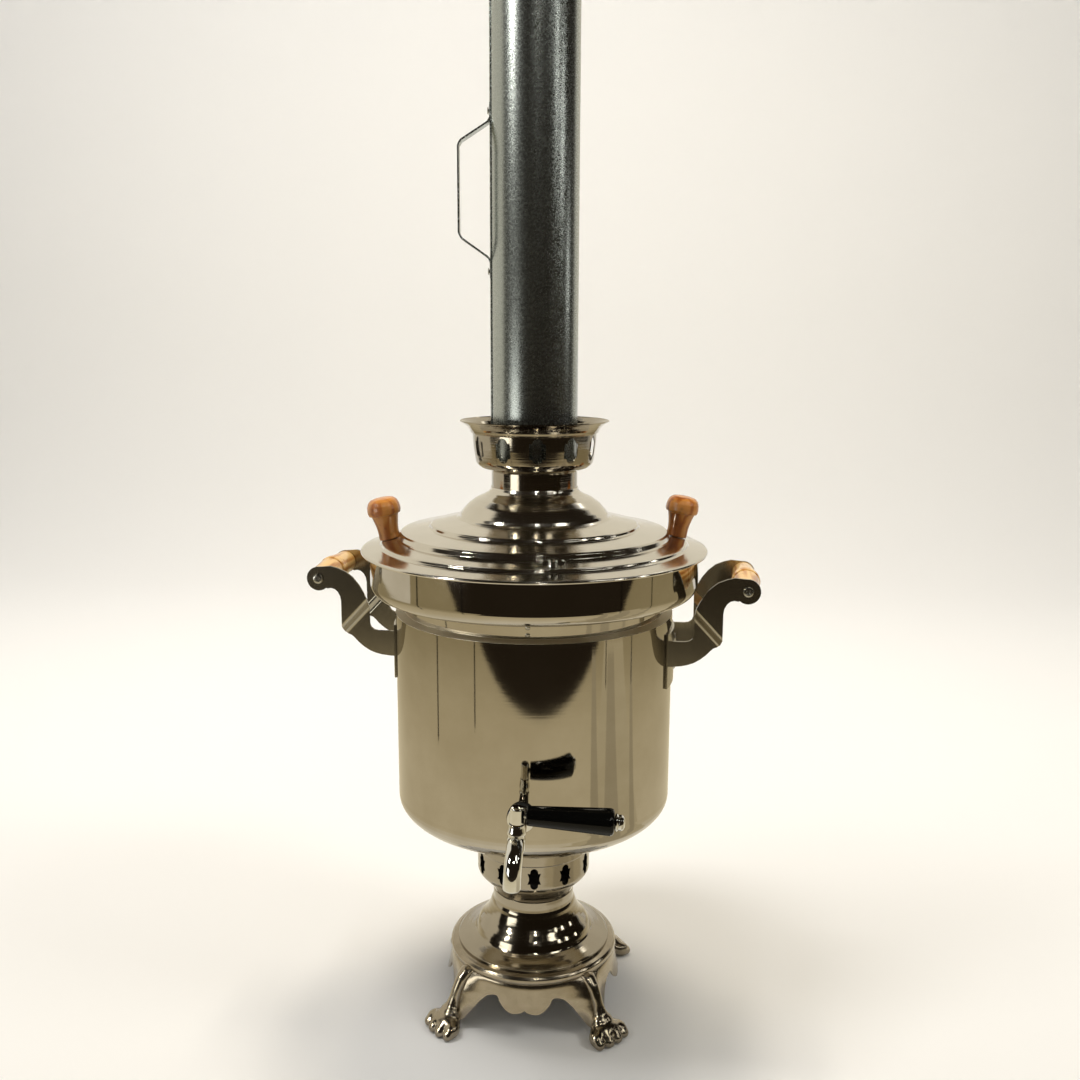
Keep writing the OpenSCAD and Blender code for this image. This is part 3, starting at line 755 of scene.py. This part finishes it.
throat_keys = [
    (0, 4.5), (18, 4.7), (33, 6.3), (42, 7.75), (51, 6.1), (58, 6.3), (66, 8.0), (78, 9.2), (90, 9.7),
]
throat_low = eased([
    (30, 104.6), (35.8, 104.6, 0.5), (36.6, 105.4, 0.6), (37.6, 108, 4), (39.6, 111.5, 10),
    (42.6, 115, 12), (46.6, 118.6, 12), (49.3, 121.7, 5), (50.2, 123.6),
], 4)
throat_band = [(50.2, 123.6), (50.5, 124.4), (50.6, 125.4), (50.6, 145.2)]
throat_high = eased([(50.6, 145.2), (50.7, 145.6), (51.6, 146.6, 0.5), (51.6, 171.9)], 0.5)
throat = pierced(throat_low, throat_band, throat_high, throat_keys, 134.8, radians(-84.7), thickness=1.0)
air_ring = finished(throat, "air_ring", "vessel", BELL_STEEL, ["throat_ring"])
dressed(air_ring, DARK_INSIDE, towards_axis)

dish = [(46.2, 172.1), (60, 172.2)] + arc((60, 200), 60, 27.8, -84, -6, 12)
dish += [(BODY_R, 200.5), (BODY_R, 204)]
finished(shell(dish, radius=8), "dished_bottom", "vessel", STEEL, ["vessel_bottom"])



def on_shoulder(height, outward):
    """Chooses the top of the shoulder, outside."""
    return 364.5 < height < 366.6 and outward > 0


wall_path = [
    (BODY_R, 204.05), (BODY_R, 345), (BODY_R, 358), (BODY_R, 364.6, 0.25), (112.2, 366.3, 0.5),
    (113.9, 381), (113.9, 381.95),
]
side = finished(shell(wall_path, radius=0.7), "vessel_side", "vessel", STEEL, ["vessel_wall"])
# The top of the shoulder takes the lighter satin band, whose colour is painted sheen
dressed(side, SHOULDER_SHEEN_STEEL, on_shoulder)

band_path = [(111.2, 382.02)] + arc((133, 392.02), 8, 10, -90, 0, 14) + [(141, 400), (141, 419.4)]
finished(shell(band_path, radius=3), "drip_collar", "vessel", STEEL, ["collar_ring"])


def domed_rivet(head_r, head_h, shank_r, shank_h):
    """A rivet along +Z with its domed head above z = 0."""
    shank = [(0, -shank_h), (shank_r, -shank_h), (shank_r, 0, 0.05)]
    head = [(head_r, 0, 0.1), (head_r, head_h * 0.35, 0.6), (head_r * 0.72, head_h * 0.85, 1.2),
            (0, head_h)]
    return solid(shank + head, 0.5, 32)


for name, z in (("upper", 376), ("lower", 369.8)):
    stand = turn_z(NECK_RIVET_AT) @ place(NECK_R + NECK_FLARE * (z - NECK_Z), 0, z)
    stand = stand @ Matrix.Rotation(atan(NECK_FLARE), 4, "Y") @ LIE_OUT
    rivet = joined((domed_rivet(1.9, 0.9, 0.95, 1.8), stand))
    finished(rivet, "neck_rivet_head_" + name, "vessel", SCREW_ZINC, ["neck_rivet_" + name])


# Lid, crown

lid_rim = [(148.2, 417.4, 0.6), (148.5, 418.3, 0.7), (148.1, 419.3, 0.7), (147, 419.8, 1)]
lid_top = [
    (145, 420.2), (132.8, 422.3, 1.5), (131.2, 423.3, 0.8), (130.7, 425, 0.8), (129, 425.6, 1),
    (117.4, 428.4, 1.2), (116.1, 429.5, 0.8), (115.4, 432.8, 0.8), (114, 434, 1), (90.6, 437.1, 1.2),
    (89.5, 438, 0.7), (89, 439.6, 0.7), (87.8, 440.5, 0.8), (66.6, 445.1, 1.5), (64.5, 446.5, 1.2),
    (63.3, 448.9, 3), (61, 452, 6), (56.3, 457.2, 12), (49.5, 461.9, 14), (43, 464.8, 8),
    (39.7, 466.9, 3), (37.9, 469.2, 2), (37.3, 471.2),
]
lid = shell([(146.4, 417.1)] + lid_rim + lid_top, radius=3, steps=192)
skirt = shell([(139.4, 409), (139.4, 420.7)])
finished(joined(lid, skirt), "lid_cover", "lid", LID_STEEL, ["lid"])

crown_keys = [
    (0, 6.6), (20, 7.1), (40, 8.6), (46, 8.9), (50, 7.9), (58, 7.9), (66, 9.0), (76, 9.9), (90, 10.4),
]
crown_low = eased([
    (35.8, 462.2), (35.8, 485, 1), (36.8, 486.6, 1), (41, 487.5, 4), (45.6, 489.1, 4), (48.2, 491.5, 3),
    (49.1, 493.2),
], 3)
crown_band = [
    (49.1, 493.2), (49.6, 496), (50.3, 500.5), (51, 505.4), (51.4, 510), (51.65, 514), (51.8, 517),
]
crown_high = eased([
    (51.8, 517), (52.2, 517.6), (53.4, 518.2, 0.6), (54, 520, 1.5), (55.2, 522, 3), (57.4, 524.2, 5),
    (60, 526, 4), (62.2, 527.3, 1.2), (62.8, 527.9),
], 2)
crown = pierced(crown_low, crown_band, crown_high, crown_keys, 505.4, radians(-82.7), thickness=0.8,
                side_cells=16)
seat = solid([
    (33.2, 486.05), (37.4, 486.05), (37.4, 495), (36.75, 495), (36.75, 488.2), (33.2, 488.2),
    (33.2, 486.05),
], 0.2, ROUND)
finished(joined(crown, seat), "teapot_crown", "crown", BELL_STEEL, ["crown"])


# Chimney

pipe_wall = [(36.3, 488.26), (36.3, 1004.8), (36.1, 1005), (35.7, 1005), (35.6, 1004.8), (35.6, 488.26)]
pipe = spun(pipe_wall, closed=True, steps=128)
seam_bar = plate([(-3.2, 498), (3.2, 498), (3.2, 1004.9), (-3.2, 1004.9)], 1.1, 0.45, 3)
seam_stand = turn_z(SEAM_AT) @ place(36.05, 0, 0) @ ON_EDGE
finished(joined(pipe, (seam_bar, seam_stand)), "pipe_tube", "chimney", ZINC, ["chimney_pipe"])

strap_path = eased([
    (37.15, 644), (37.15, 656.5, 3), (39, 660.6, 4), (61, 675.8, 4), (63.3, 680.4, 4), (63.3, 749.4, 4),
    (61, 753.4, 4), (39, 767.4, 4), (37.15, 770.6, 3), (37.15, 782),
], 4)
strap = strip(strap_path, 12, 1.5, 0.35)
finished(joined((strap, turn_z(STRIP_AT))), "pipe_strap", "chimney", ZINC, ["pipe_handle"])

for name, z in (("pipe_rivet_head_top", 776), ("pipe_rivet_head_bottom", 650)):
    rivet = joined((domed_rivet(3, 1.1, 1.55, 2.2), turn_z(STRIP_AT) @ place(37.95, 0, z) @ LIE_OUT))
    finished(rivet, name, "chimney", SCREW_ZINC, [name.replace("_head", "")])


# Knobs and steam vent on the lid


def on_terrace(at):
    """Sets a shape upright on the lid's sloping outer terrace."""
    return turn_z(at) @ place(TERRACE_R, 0, TERRACE_Z) @ Matrix.Rotation(TERRACE_LEAN, 4, "Y")


knob_path = [
    (0, -1.2), (8.4, -1.2), (8.9, 1.4, 0.8), (8.8, 4, 3), (8.9, 8, 8), (9.4, 12, 8), (10.3, 16, 8),
    (11.2, 19.6, 3), (11.7, 20.9, 0.4), (13.3, 21.4, 0.5), (14.1, 23.2, 1.5), (14.2, 26, 4),
    (13.7, 29.4, 6), (12.2, 32.8, 4), (9.6, 34.9, 4), (5.5, 35.8, 6), (0, 36.1),
]


def turned_knob():
    """A knob in its terrace's frame: a little more upright, and trimmed to sit flat on it."""
    bm = solid(knob_path, 3, 72)
    moved(bm, Matrix.Rotation(-KNOB_TILT, 4, "Y"))
    cut = sliced(bm, (0, 0, 0.35), (0, 0, 1), clear_inner=True)
    bmesh.ops.edgeloop_fill(bm, edges=edges_of(cut["geom_cut"]))
    face_outward(bm)
    return bm


KNOB_TONES = ("8F4C12", "B5671F", "CC863A")
for side, at in (("left", pi), ("right", 0.0)):
    spindle = on_terrace(at + KNOB_TURN)
    centre = spindle @ Vector((3.2, 1.4, 12))
    lean = (TERRACE_LEAN - KNOB_TILT) * (-1 if side == "right" else 1)
    wood = lacquered_wood("stained_knob_" + side, KNOB_TONES, centre, (0, lean, 0.3), grain_mm=3.0,
                          knots=0.72)
    knob = joined((turned_knob(), spindle))
    finished(knob, "turned_knob_" + side, "lid", wood, ["knob_" + side])

vent = on_terrace(VENT_AT) @ place(2, 0, 0)
post = solid([
    (1.8, -3), (4.4, -3, 0.2), (4.4, -1.2, 0.2), (3, -1.2, 0.1), (3, 3.6, 0.3), (1.8, 3.6, 0.2),
    (1.8, -3),
], 0.2, 40)
finished(joined((post, vent)), "vent_tube", "lid", CHROME, ["vent_post"])
cap = solid([
    (0, 3.7), (3.05, 3.7, 0.1), (3.05, 0.5, 0.1), (4.2, 0.5, 0.2), (4.3, 1.5, 0.3), (3.9, 2.1, 0.4),
    (3.8, 4.1, 0.7), (2.4, 5.1, 1), (0, 5.3),
], 0.5, 40)
wings = []
for s in (-1, 1):
    leaf = plate(arc((0, 0), 3.9, 2.45, 0, 360, 28)[:-1], 1.8, 0.6, 3)
    stand = place(-0.9, s * 5.6, 3.2) @ ON_EDGE
    wings.append((leaf, stand))
finished(joined((joined(cap, *wings), vent)), "vent_wings", "vent", CHROME, ["vent_cap"])


# Side handles

GRIP_X = 181
GRIP_Z = 393
ARM_SHEET = 2.0
ARM_Y = 31.5
ARM = [
    (117, 325.5), (121, 325.6), (128.8, 326.5), (134, 327.8), (139, 329.7), (144, 332.9),
    (148.7, 336.8), (152.2, 340.6), (154.6, 342.8), (157.5, 343.8), (160, 346), (161.5, 350.7),
    (161.5, 362), (161.5, 374), (162.2, 378.2), (164.2, 382), (167, 384.4), (170.2, 385.2),
    (173.4, 384.6),
] + arc((GRIP_X, GRIP_Z), 10.2, 10.4, -132, 96, 16) + [
    (170, 404.2), (164, 402.7), (156.5, 399.6), (150.5, 394.6), (145.5, 388.3), (141.6, 381.6),
    (139.2, 376.4), (138.5, 372), (138.5, 362), (138.5, 353.5), (137.3, 350.4), (134.5, 348.3),
    (131, 347.6), (117, 347.6),
]
FOLD_AT = Vector((148, 355))
FOLD_LEAN = radians(47)
FOLD_WAY = Vector((sin(FOLD_LEAN), cos(FOLD_LEAN)))
FOLD_LEN = 9.0
FOLD_STEPS = 8
FOLD_OUT = 6.0


def fold_side(x, z):
    """How far a point of the arm has stepped outward across its fold."""
    share = ((x - FOLD_AT.x) * FOLD_WAY.x + (z - FOLD_AT.y) * FOLD_WAY.y) / FOLD_LEN
    share = min(1.0, max(0.0, share))
    return FOLD_OUT * share * share * (3 - 2 * share)


def bracket_arm():
    """One folded arm, in XZ with its thickness along +Y."""
    bm = bmesh.new()
    bm.faces.new([bm.verts.new((x, 0, z)) for x, z in ARM])
    for k in range(FOLD_STEPS + 1):
        at = FOLD_AT + FOLD_WAY * (FOLD_LEN * k / FOLD_STEPS)
        sliced(bm, (at.x, 0, at.y), (FOLD_WAY.x, 0, FOLD_WAY.y))
    for vert in bm.verts:
        vert.co.y = ARM_Y + fold_side(vert.co.x, vert.co.z)
    face_outward(bm)
    if sum(f.normal.y for f in bm.faces) > 0:
        bmesh.ops.reverse_faces(bm, faces=bm.faces[:])
    pushed = bmesh.ops.extrude_face_region(bm, geom=bm.faces[:])["geom"]
    bmesh.ops.translate(bm, vec=(0, ARM_SHEET, 0), verts=verts_of(pushed))
    face_outward(bm)
    bevelled(bm, 0.35, 60)
    return bm


def bracket():
    """The folded sheet bracket: a curved plate against the vessel and two arms."""
    half = radians(16.2)
    section = [(120.05, 306), (122.05, 306), (122.05, 353), (120.05, 353)]
    web = spun(section, closed=True, steps=24, angle=2 * half)
    bmesh.ops.holes_fill(web, edges=[e for e in web.edges if e.is_boundary], sides=8)
    face_outward(web)
    bevelled(web, 0.3, 60)
    return joined((web, turn_z(-half)), bracket_arm(), (bracket_arm(), Matrix.Diagonal((1, -1, 1, 1))))


half_grip = [
    (0, 12.2), (2.3, 12.2, 0.8), (3.7, 11.8, 0.8), (4.4, 10.4, 0.5), (5.1, 10.3, 0.5), (5.7, 11.2, 0.5),
    (8.2, 11.4, 2), (14, 11, 10), (24, 10.3, 20), (33, 9.9, 8), (36.4, 9.8, 0.8), (37.35, 8.9, 0.6),
    (37.35, 2.05),
]
grip_path = [(r, -y, *rest) for y, r, *rest in half_grip[:0:-1]]
grip_path += [(r, y, *rest) for y, r, *rest in half_grip[1:]]


def cross_screw(head_r, head_h):
    """A pan head along +Z from z = 0, with a cross recess."""
    bm = bmesh.new()
    slot, arm = 0.55, head_r * 0.52
    cross = [(slot, slot), (slot, arm), (-slot, arm), (-slot, slot), (-arm, slot), (-arm, -slot)]
    cross += [(-x, -y) for x, y in cross]
    recess = loop_of(bm, [(x, y, head_h) for x, y in cross])
    rings = []
    for share, rise in ((0.7, 1), (0.86, 0.9), (0.96, 0.68), (1, 0.42), (1, 0.08 / head_h), (0.97, 0)):
        circle = arc((0, 0), head_r * share, head_r * share, 0, 360, 36)[:-1]
        rings.append(loop_of(bm, [(x, y, head_h * rise) for x, y in circle]))
    bmesh.ops.triangle_fill(bm, use_beauty=True, edges=recess + rings[0])
    for upper, lower in zip(rings, rings[1:]):
        bmesh.ops.bridge_loops(bm, edges=upper + lower)
    bmesh.ops.edgeloop_fill(bm, edges=rings[-1])
    low, low_edges = pushed_loop(bm, recess)
    bmesh.ops.translate(bm, vec=(0, 0, -1.3), verts=low)
    bmesh.ops.scale(bm, vec=(0.7, 0.7, 1), verts=low)
    bmesh.ops.edgeloop_fill(bm, edges=low_edges)
    face_outward(bm)
    return bm


GRIP_TONES = ("A5682A", "CB8F45", "E6BA74")
for side, at in (("left", pi), ("right", 0.0)):
    stand = turn_z(at + HANDLE_TURN)
    folded = joined((bracket(), stand))
    finished(folded, "handle_bracket_" + side, "vessel", BRACKET_STEEL, ["bracket_" + side],
             smooth=radians(30))
    centre = stand @ Vector((GRIP_X + 4, 0, GRIP_Z - 3))
    amber = lacquered_wood("amber_grip_" + side, GRIP_TONES, centre, (pi / 2, 0, 0), grain_mm=2.6, knots=0.8)
    grip = joined((solid(grip_path, 4, 72), stand @ place(GRIP_X, 0, GRIP_Z) @ ALONG_BACK))
    finished(grip, "turned_grip_" + side, "vessel", amber, ["grip_" + side])
    ahead = 1 if side == "left" else -1
    for where, sign in (("front", ahead), ("rear", -ahead)):
        facing = Matrix.Rotation(-sign * pi / 2, 4, "X") @ turn_z(0.5 if side == "left" else 0.9)
        screw = joined((cross_screw(4.3, 2.4), stand @ place(GRIP_X, sign * 39.55, GRIP_Z) @ facing))
        finished(screw, f"cross_screw_{side}_{where}", "vessel", SCREW_ZINC,
                 [f"grip_screw_{side}_{where}"], smooth=radians(30))
    for where, z in (("upper", 342), ("lower", 318)):
        fix = joined((domed_rivet(4, 1.5, 1.95, 4.6), stand @ place(122.15, 0, z) @ LIE_OUT))
        end = f"{side}_{where}"
        finished(fix, "bracket_rivet_" + end, "vessel", SCREW_ZINC, ["rivet_" + end])


# Tap

AT_TAP = place(0, -TAP_OUT, TAP_Z) @ Matrix.Rotation(TAP_ROLL, 4, "Y")
barrel = solid([
    (3.5, 3), (6, 3), (6, 37.2, 0.4), (8, 37.5, 0.6), (11, 37.7, 0.5), (11, 40.5, 0.4), (6, 40.6, 0.2),
    (6, 55, 0.4), (3.5, 55, 0.3), (3.5, 3),
], 0.5)
housing = solid([
    (0, -10.2), (3.4, -10.2, 1), (6.2, -8.8, 2), (7, -6, 2), (7, 2.6, 0.6), (6.4, 4.4, 0.8),
    (6.2, 6.55, 0.3), (0, 6.55),
], 0.6)

SPOUT_BEND = 21.5


def bent_spout():
    """The spout: a tube that leaves the barrel level, turns down, and ends in a plain rounded mouth."""
    bm = bmesh.new()
    made = bmesh.ops.create_circle(bm, cap_ends=False, segments=48, radius=6.6)
    moved(bm, Matrix.Rotation(pi / 2, 4, "X"))
    turned = bmesh.ops.spin(bm, geom=made["verts"] + bm.edges[:], cent=(0, 0, -SPOUT_BEND), axis=(1, 0, 0),
                            angle=pi / 2, steps=32, use_merge=False, use_duplicate=False)
    end = edges_of(turned["geom_last"])
    mouth = [(0.6, 6.68), (4, 6.7), (0.9, 6.45), (0.5, 5.9), (0.2, 5.1), (0, 4.7), (-0.4, 4.5), (-6, 4.4)]
    for drop, size in mouth:
        verts, end = pushed_loop(bm, end)
        for vert in verts:
            flat = Vector((vert.co.x, vert.co.y + SPOUT_BEND, 0)).normalized() * size
            vert.co = Vector((flat.x, flat.y - SPOUT_BEND, vert.co.z - drop))
    bmesh.ops.edgeloop_fill(bm, edges=end)
    face_outward(bm)
    return bm


tap = joined((barrel, ALONG_BACK), housing, bent_spout())
finished(joined((tap, AT_TAP)), "tap_casting", "vessel", CHROME, ["tap_body"], smooth=radians(34))

cap_nut = solid([
    (3.6, 6.65), (7.1, 6.65, 0.3), (7.4, 7.4, 0.5), (7.2, 8.6, 0.8), (6.7, 10.6, 2), (6.2, 12.6, 1),
    (5.9, 14.4, 0.4), (3.6, 14.4, 0.1), (3.6, 6.65),
], 0.4)
finished(joined((cap_nut, AT_TAP)), "tap_cap_nut", "vessel", CHROME, ["tap_bonnet"])

hub = bmesh.new()
bmesh.ops.create_cone(hub, cap_ends=True, segments=10, radius1=5.75, radius2=5.75, depth=11.6)
bmesh.ops.translate(hub, vec=(0, 0, 20.9), verts=hub.verts[:])
bevelled(hub, 0.5, 17)
dome = solid([(0, 26.6), (5.2, 26.6, 0.2), (5, 27.3, 0.6), (3.6, 27.9, 1.5), (1.8, 28.2, 2), (0, 28.3)], 1)
capped = joined((joined(hub, dome), AT_TAP))
finished(capped, "lever_hub", "tap_lever", CHROME, ["tap_hub"], smooth=radians(25))

ON_LEVER = AT_TAP @ place(0, 0, LEVER_Z - TAP_Z) @ LIE_OUT
lever = solid([
    (2.5, 7.0), (6.4, 7.0, 0.5), (7.2, 7.6, 0.5), (7.4, 9, 1), (8.1, 24, 20), (9.2, 48, 30),
    (10.1, 66.5, 8), (10.15, 69.5, 2), (9.4, 71.5, 1.5), (7.8, 72.35, 0.8), (2.5, 72.4), (2.5, 7.0),
], 1, 72)
finished(joined((lever, ON_LEVER)), "lever_grip", "tap_lever", BLACK, ["tap_grip"])

acorn = solid([
    (0, 72.5), (4.6, 72.5, 0.3), (6.4, 73.15, 0.4), (6.7, 74.05, 0.5), (5.9, 74.85, 0.4),
    (5.5, 75.35, 0.4), (5.9, 76.05, 0.4), (5.9, 77.45, 0.8), (5, 79.05, 1.5), (3, 80.05, 2), (0, 80.45),
], 0.8, 48)
finished(joined((acorn, ON_LEVER)), "lever_acorn", "tap_lever", CHROME, ["tap_acorn"])

# Nodes whose own shape is kept, most of them hidden inside
for finish, names in (
    (FLUE_STEEL, ("fire_tube",)),
    (IRON, ("grate",)),
    (RUBBER, ("tap_gasket", "tap_oring")),
    (BRASS, ("tap_locknut", "tap_plug")),
    (SCREW_ZINC, ("knob_screw_left", "knob_screw_right", "tap_washer", "tap_rod")),
):
    for name in names:
        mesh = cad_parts[name].data
        mesh.materials.clear()
        mesh.materials.append(finish)


# Studio


def glowing_ramp(name, axis_scale, *stops):
    """A glow whose colour changes with the distance from the object's own middle, along the scaled axes."""
    made, tree, shader = new_material(name, "ShaderNodeEmission", {"Strength": 1.0})
    spot = add(tree, "ShaderNodeTexCoord").outputs["Object"]
    kept = add(tree, "ShaderNodeVectorMath", {0: spot, 1: axis_scale}, operation="MULTIPLY")
    far = add(tree, "ShaderNodeVectorMath", {0: kept.outputs[0]}, operation="LENGTH")
    paint(tree, shader, "Color", ramp(tree, far.outputs["Value"], *stops))
    return made


def staged(name, bm, material, mirrored_only=True):
    """A studio object. One that is only mirrored shows in the metal and nowhere else."""
    made = in_scene(name, mesh_of(bm, name))
    made.data.materials.append(material)
    if mirrored_only:
        made.visible_camera = False
        made.visible_diffuse = False
        made.visible_shadow = False
    return made


def card(name, size, spot, facing, code, strength=1.0, turn=0.0):
    """A flat card of one glow that only the metal mirrors."""
    glow, _, _ = new_material(name, "ShaderNodeEmission", {"Color": linear(code), "Strength": strength})
    bm = bmesh.new()
    bmesh.ops.create_grid(bm, x_segments=1, y_segments=1, size=0.5)
    bmesh.ops.scale(bm, vec=(size[0], size[1], 1), verts=bm.verts[:])
    made = staged(name, bm, glow)
    made.location = spot
    stand = Vector(facing).to_track_quat("Z", "Y").to_matrix().to_4x4()
    made.rotation_euler = (turn_z(turn) @ stand).to_euler()
    return made


# Paper sweep: a floor that runs past the camera in front, and rises into a wall behind
SWEEP_HALF = 3.0
profile = [(-1.7, 0.0)] + arc((1.5, 0.7), 0.7, 0.7, -90, 0, 16) + [(2.2, 3.4)]
paper = ribbon([(-SWEEP_HALF, y, z) for y, z in profile], (2 * SWEEP_HALF, 0, 0))
matt_paper = {"Color": linear("F6F5F2"), "Roughness": 0.9}
cream_paper, _, _ = new_material("cream_paper", "ShaderNodeBsdfDiffuse", matt_paper)
sweep = staged("paper_sweep", paper, cream_paper, mirrored_only=False)
sweep.data.shade_smooth()

# What the metal mirrors: a glowing floor whose colour is painted light and shade, bright close to the stand
# where the paper itself lies in shadow, and darker and warmer further out; then a dark room with a few lamps
# in front, and cream walls behind
floor_glow = glowing_ramp("mirrored_floor_painted_falloff", (0.5, 0.5, 0), (0.12, "EFE7D2"), (0.25, "DFD2B2"),
                          (0.475, "D0C2A0"), (0.75, "A99B78"))
disc = bmesh.new()
bmesh.ops.create_circle(disc, cap_ends=False, segments=64, radius=0.14)
outer, _ = pushed_loop(disc, disc.edges[:])
bmesh.ops.scale(disc, vec=(19, 19, 1), verts=outer)
bmesh.ops.translate(disc, vec=(0, 0, 0.001), verts=disc.verts[:])
staged("mirrored_floor", disc, floor_glow)

EDGE_TURN = radians(9)
CREAM = "E9E1CE"
LAMP = "FFFDF4"
card("room_floor", (8.0, 3.0), (0.234, -2.442, 0.003), (0, 0, 1), "2B241B", turn=EDGE_TURN)
card("wall_left", (2.4, 2.6), (-1.7, 1.05, 1.3), (1, 0, 0), CREAM)
card("wall_right", (0.9, 2.6), (1.7, 1.85, 1.3), (-1, 0, 0), CREAM)
card("wall_back", (4.4, 2.3), (0, 2.15, 1.75), (0, -1, 0), CREAM)
card("window", (0.55, 0.3), (-1.03, -0.86, 0.34), (1, 0.8, 0), LAMP, 3.5)
card("lamp_left", (0.22, 0.5), (-2.1, -1.36, 1.95), (1, 0.65, -0.5), LAMP, 90)
card("lamp_over", (0.06, 0.3), (0.38, -2.17, 2.1), (-0.2, 1, -0.7), LAMP, 90)
card("lamp_upper_right", (0.6, 0.7), (1.75, -1.35, 2.2), (-1, 0.8, -0.7), LAMP, 4)
card("lamp_right_1", (0.1, 0.3), (1.9, -1.05, 1.35), (-1, 0.5, -0.5), LAMP, 10)
card("lamp_right_2", (0.12, 0.26), (2.1, -0.45, 1.15), (-1, 0.2, -0.4), LAMP, 10)
card("lamp_right_3", (0.1, 0.2), (2.3, 0.4, 0.8), (-1, -0.2, -0.2), LAMP, 10)
card("lamp_right_4", (0.2, 0.12), (0.9, 1.4, 1.9), (-0.4, -0.5, -1), LAMP, 3.5)
# Painted shade on the mirrored floor, to the right of the stand: a half-shaded patch and three darker
# streaks
card("floor_half_shade", (1.2, 0.42), (0.75, -0.28, 0.0035), (0, 0, 1), "CFC2A2", turn=atan2(-0.28, 0.75))
SHADE_STREAKS = ((0.60, -0.47, 0.07), (0.70, -0.30, 0.13), (0.76, -0.04, 0.05))
for k, (x, y, wide) in enumerate(SHADE_STREAKS):
    card(f"floor_shade_streak_{k}", (1.1, wide), (x, y, 0.004), (0, 0, 1), "B8AC90", turn=atan2(y, x))
STAND_LEGS = ((-0.788, -0.203, 0.016), (-0.592, -0.669, 0.014), (0.968, -0.512, 0.014),
              (1.099, -0.063, 0.014))
for k, (x, y, wide) in enumerate(STAND_LEGS):
    card(f"stand_leg_{k}", (wide, 0.42), (x, y, 0.212), (-x, -y, 0), "0C0A08")

world = bpy.data.worlds.new("studio")
bpy.context.scene.world = world
tree = empty_tree(world)
path = add(tree, "ShaderNodeLightPath")
pale = add(tree, "ShaderNodeBackground", {"Color": linear("F1EDE2"), "Strength": 1.0})
fill = add(tree, "ShaderNodeBackground", {"Color": linear("F4F2EC"), "Strength": 0.28})
gloom = add(tree, "ShaderNodeBackground", {"Color": linear("221C14"), "Strength": 1.0})
unseen = {0: path.outputs["Is Glossy Ray"], 1: fill.outputs[0], 2: gloom.outputs[0]}
indirect = add(tree, "ShaderNodeMixShader", unseen)
seen = {0: path.outputs["Is Camera Ray"], 1: indirect.outputs[0], 2: pale.outputs[0]}
mixed = add(tree, "ShaderNodeMixShader", seen)
add(tree, "ShaderNodeOutputWorld", {"Surface": mixed.outputs[0]})


def soft_light(name, spot, target, size, power, colour):
    """A lamp over the matt surfaces, which the metal doesn't mirror."""
    lamp = bpy.data.lights.new(name, "AREA")
    lamp.shape = "RECTANGLE"
    lamp.size, lamp.size_y = size
    lamp.energy = power
    lamp.color = linear(colour)[:3]
    made = in_scene(name, lamp)
    made.location = spot
    made.rotation_euler = (Vector(target) - Vector(spot)).to_track_quat("-Z", "Y").to_euler()
    made.visible_camera = False
    made.visible_glossy = False


soft_light("key_right", (1.7, -0.5, 2.0), (0, 0, 0.3), (0.6, 0.6), 10, "FFFDF8")
soft_light("key_left", (-1.5, -0.9, 2.1), (0, 0, 0.3), (0.6, 0.6), 3.5, "FFFDF8")
soft_light("top", (0.05, 0.42, 2.4), (0, 0.05, 0), (0.5, 0.5), 27, "FFF5E4")
soft_light("wall_wash", (-0.5, -0.2, 2.4), (-0.35, 2.2, 0.9), (0.8, 0.6), 31, "FCFBFC")

# Camera: where the photograph was taken from, in millimetres, and how it was held
VIEW_FROM = Vector((4.9, -915, 588))
VIEW_TURN = radians(4.3)
VIEW_DROP = radians(10.14)
VIEW_ROLL = radians(0.2)
PHOTO_PX = 1080
FOCAL_PX = 1075
camera_data = bpy.data.cameras.new("camera")
camera_data.sensor_width = 36
camera_data.lens = camera_data.sensor_width * FOCAL_PX / PHOTO_PX
camera_data.clip_end = 50
camera = in_scene("camera", camera_data)
spot = turn_z(VIEW_TURN) @ VIEW_FROM + Vector((0, AXIS_Y, 0))
look = turn_z(VIEW_TURN) @ Vector((0, cos(VIEW_DROP), -sin(VIEW_DROP)))
camera.location = spot / 1000
roll = Matrix.Rotation(VIEW_ROLL, 4, "Z")
camera.rotation_euler = (look.to_track_quat("-Z", "Y").to_matrix().to_4x4() @ roll).to_euler()
bpy.context.scene.camera = camera
bpy.context.scene.view_settings.view_transform = "Standard"
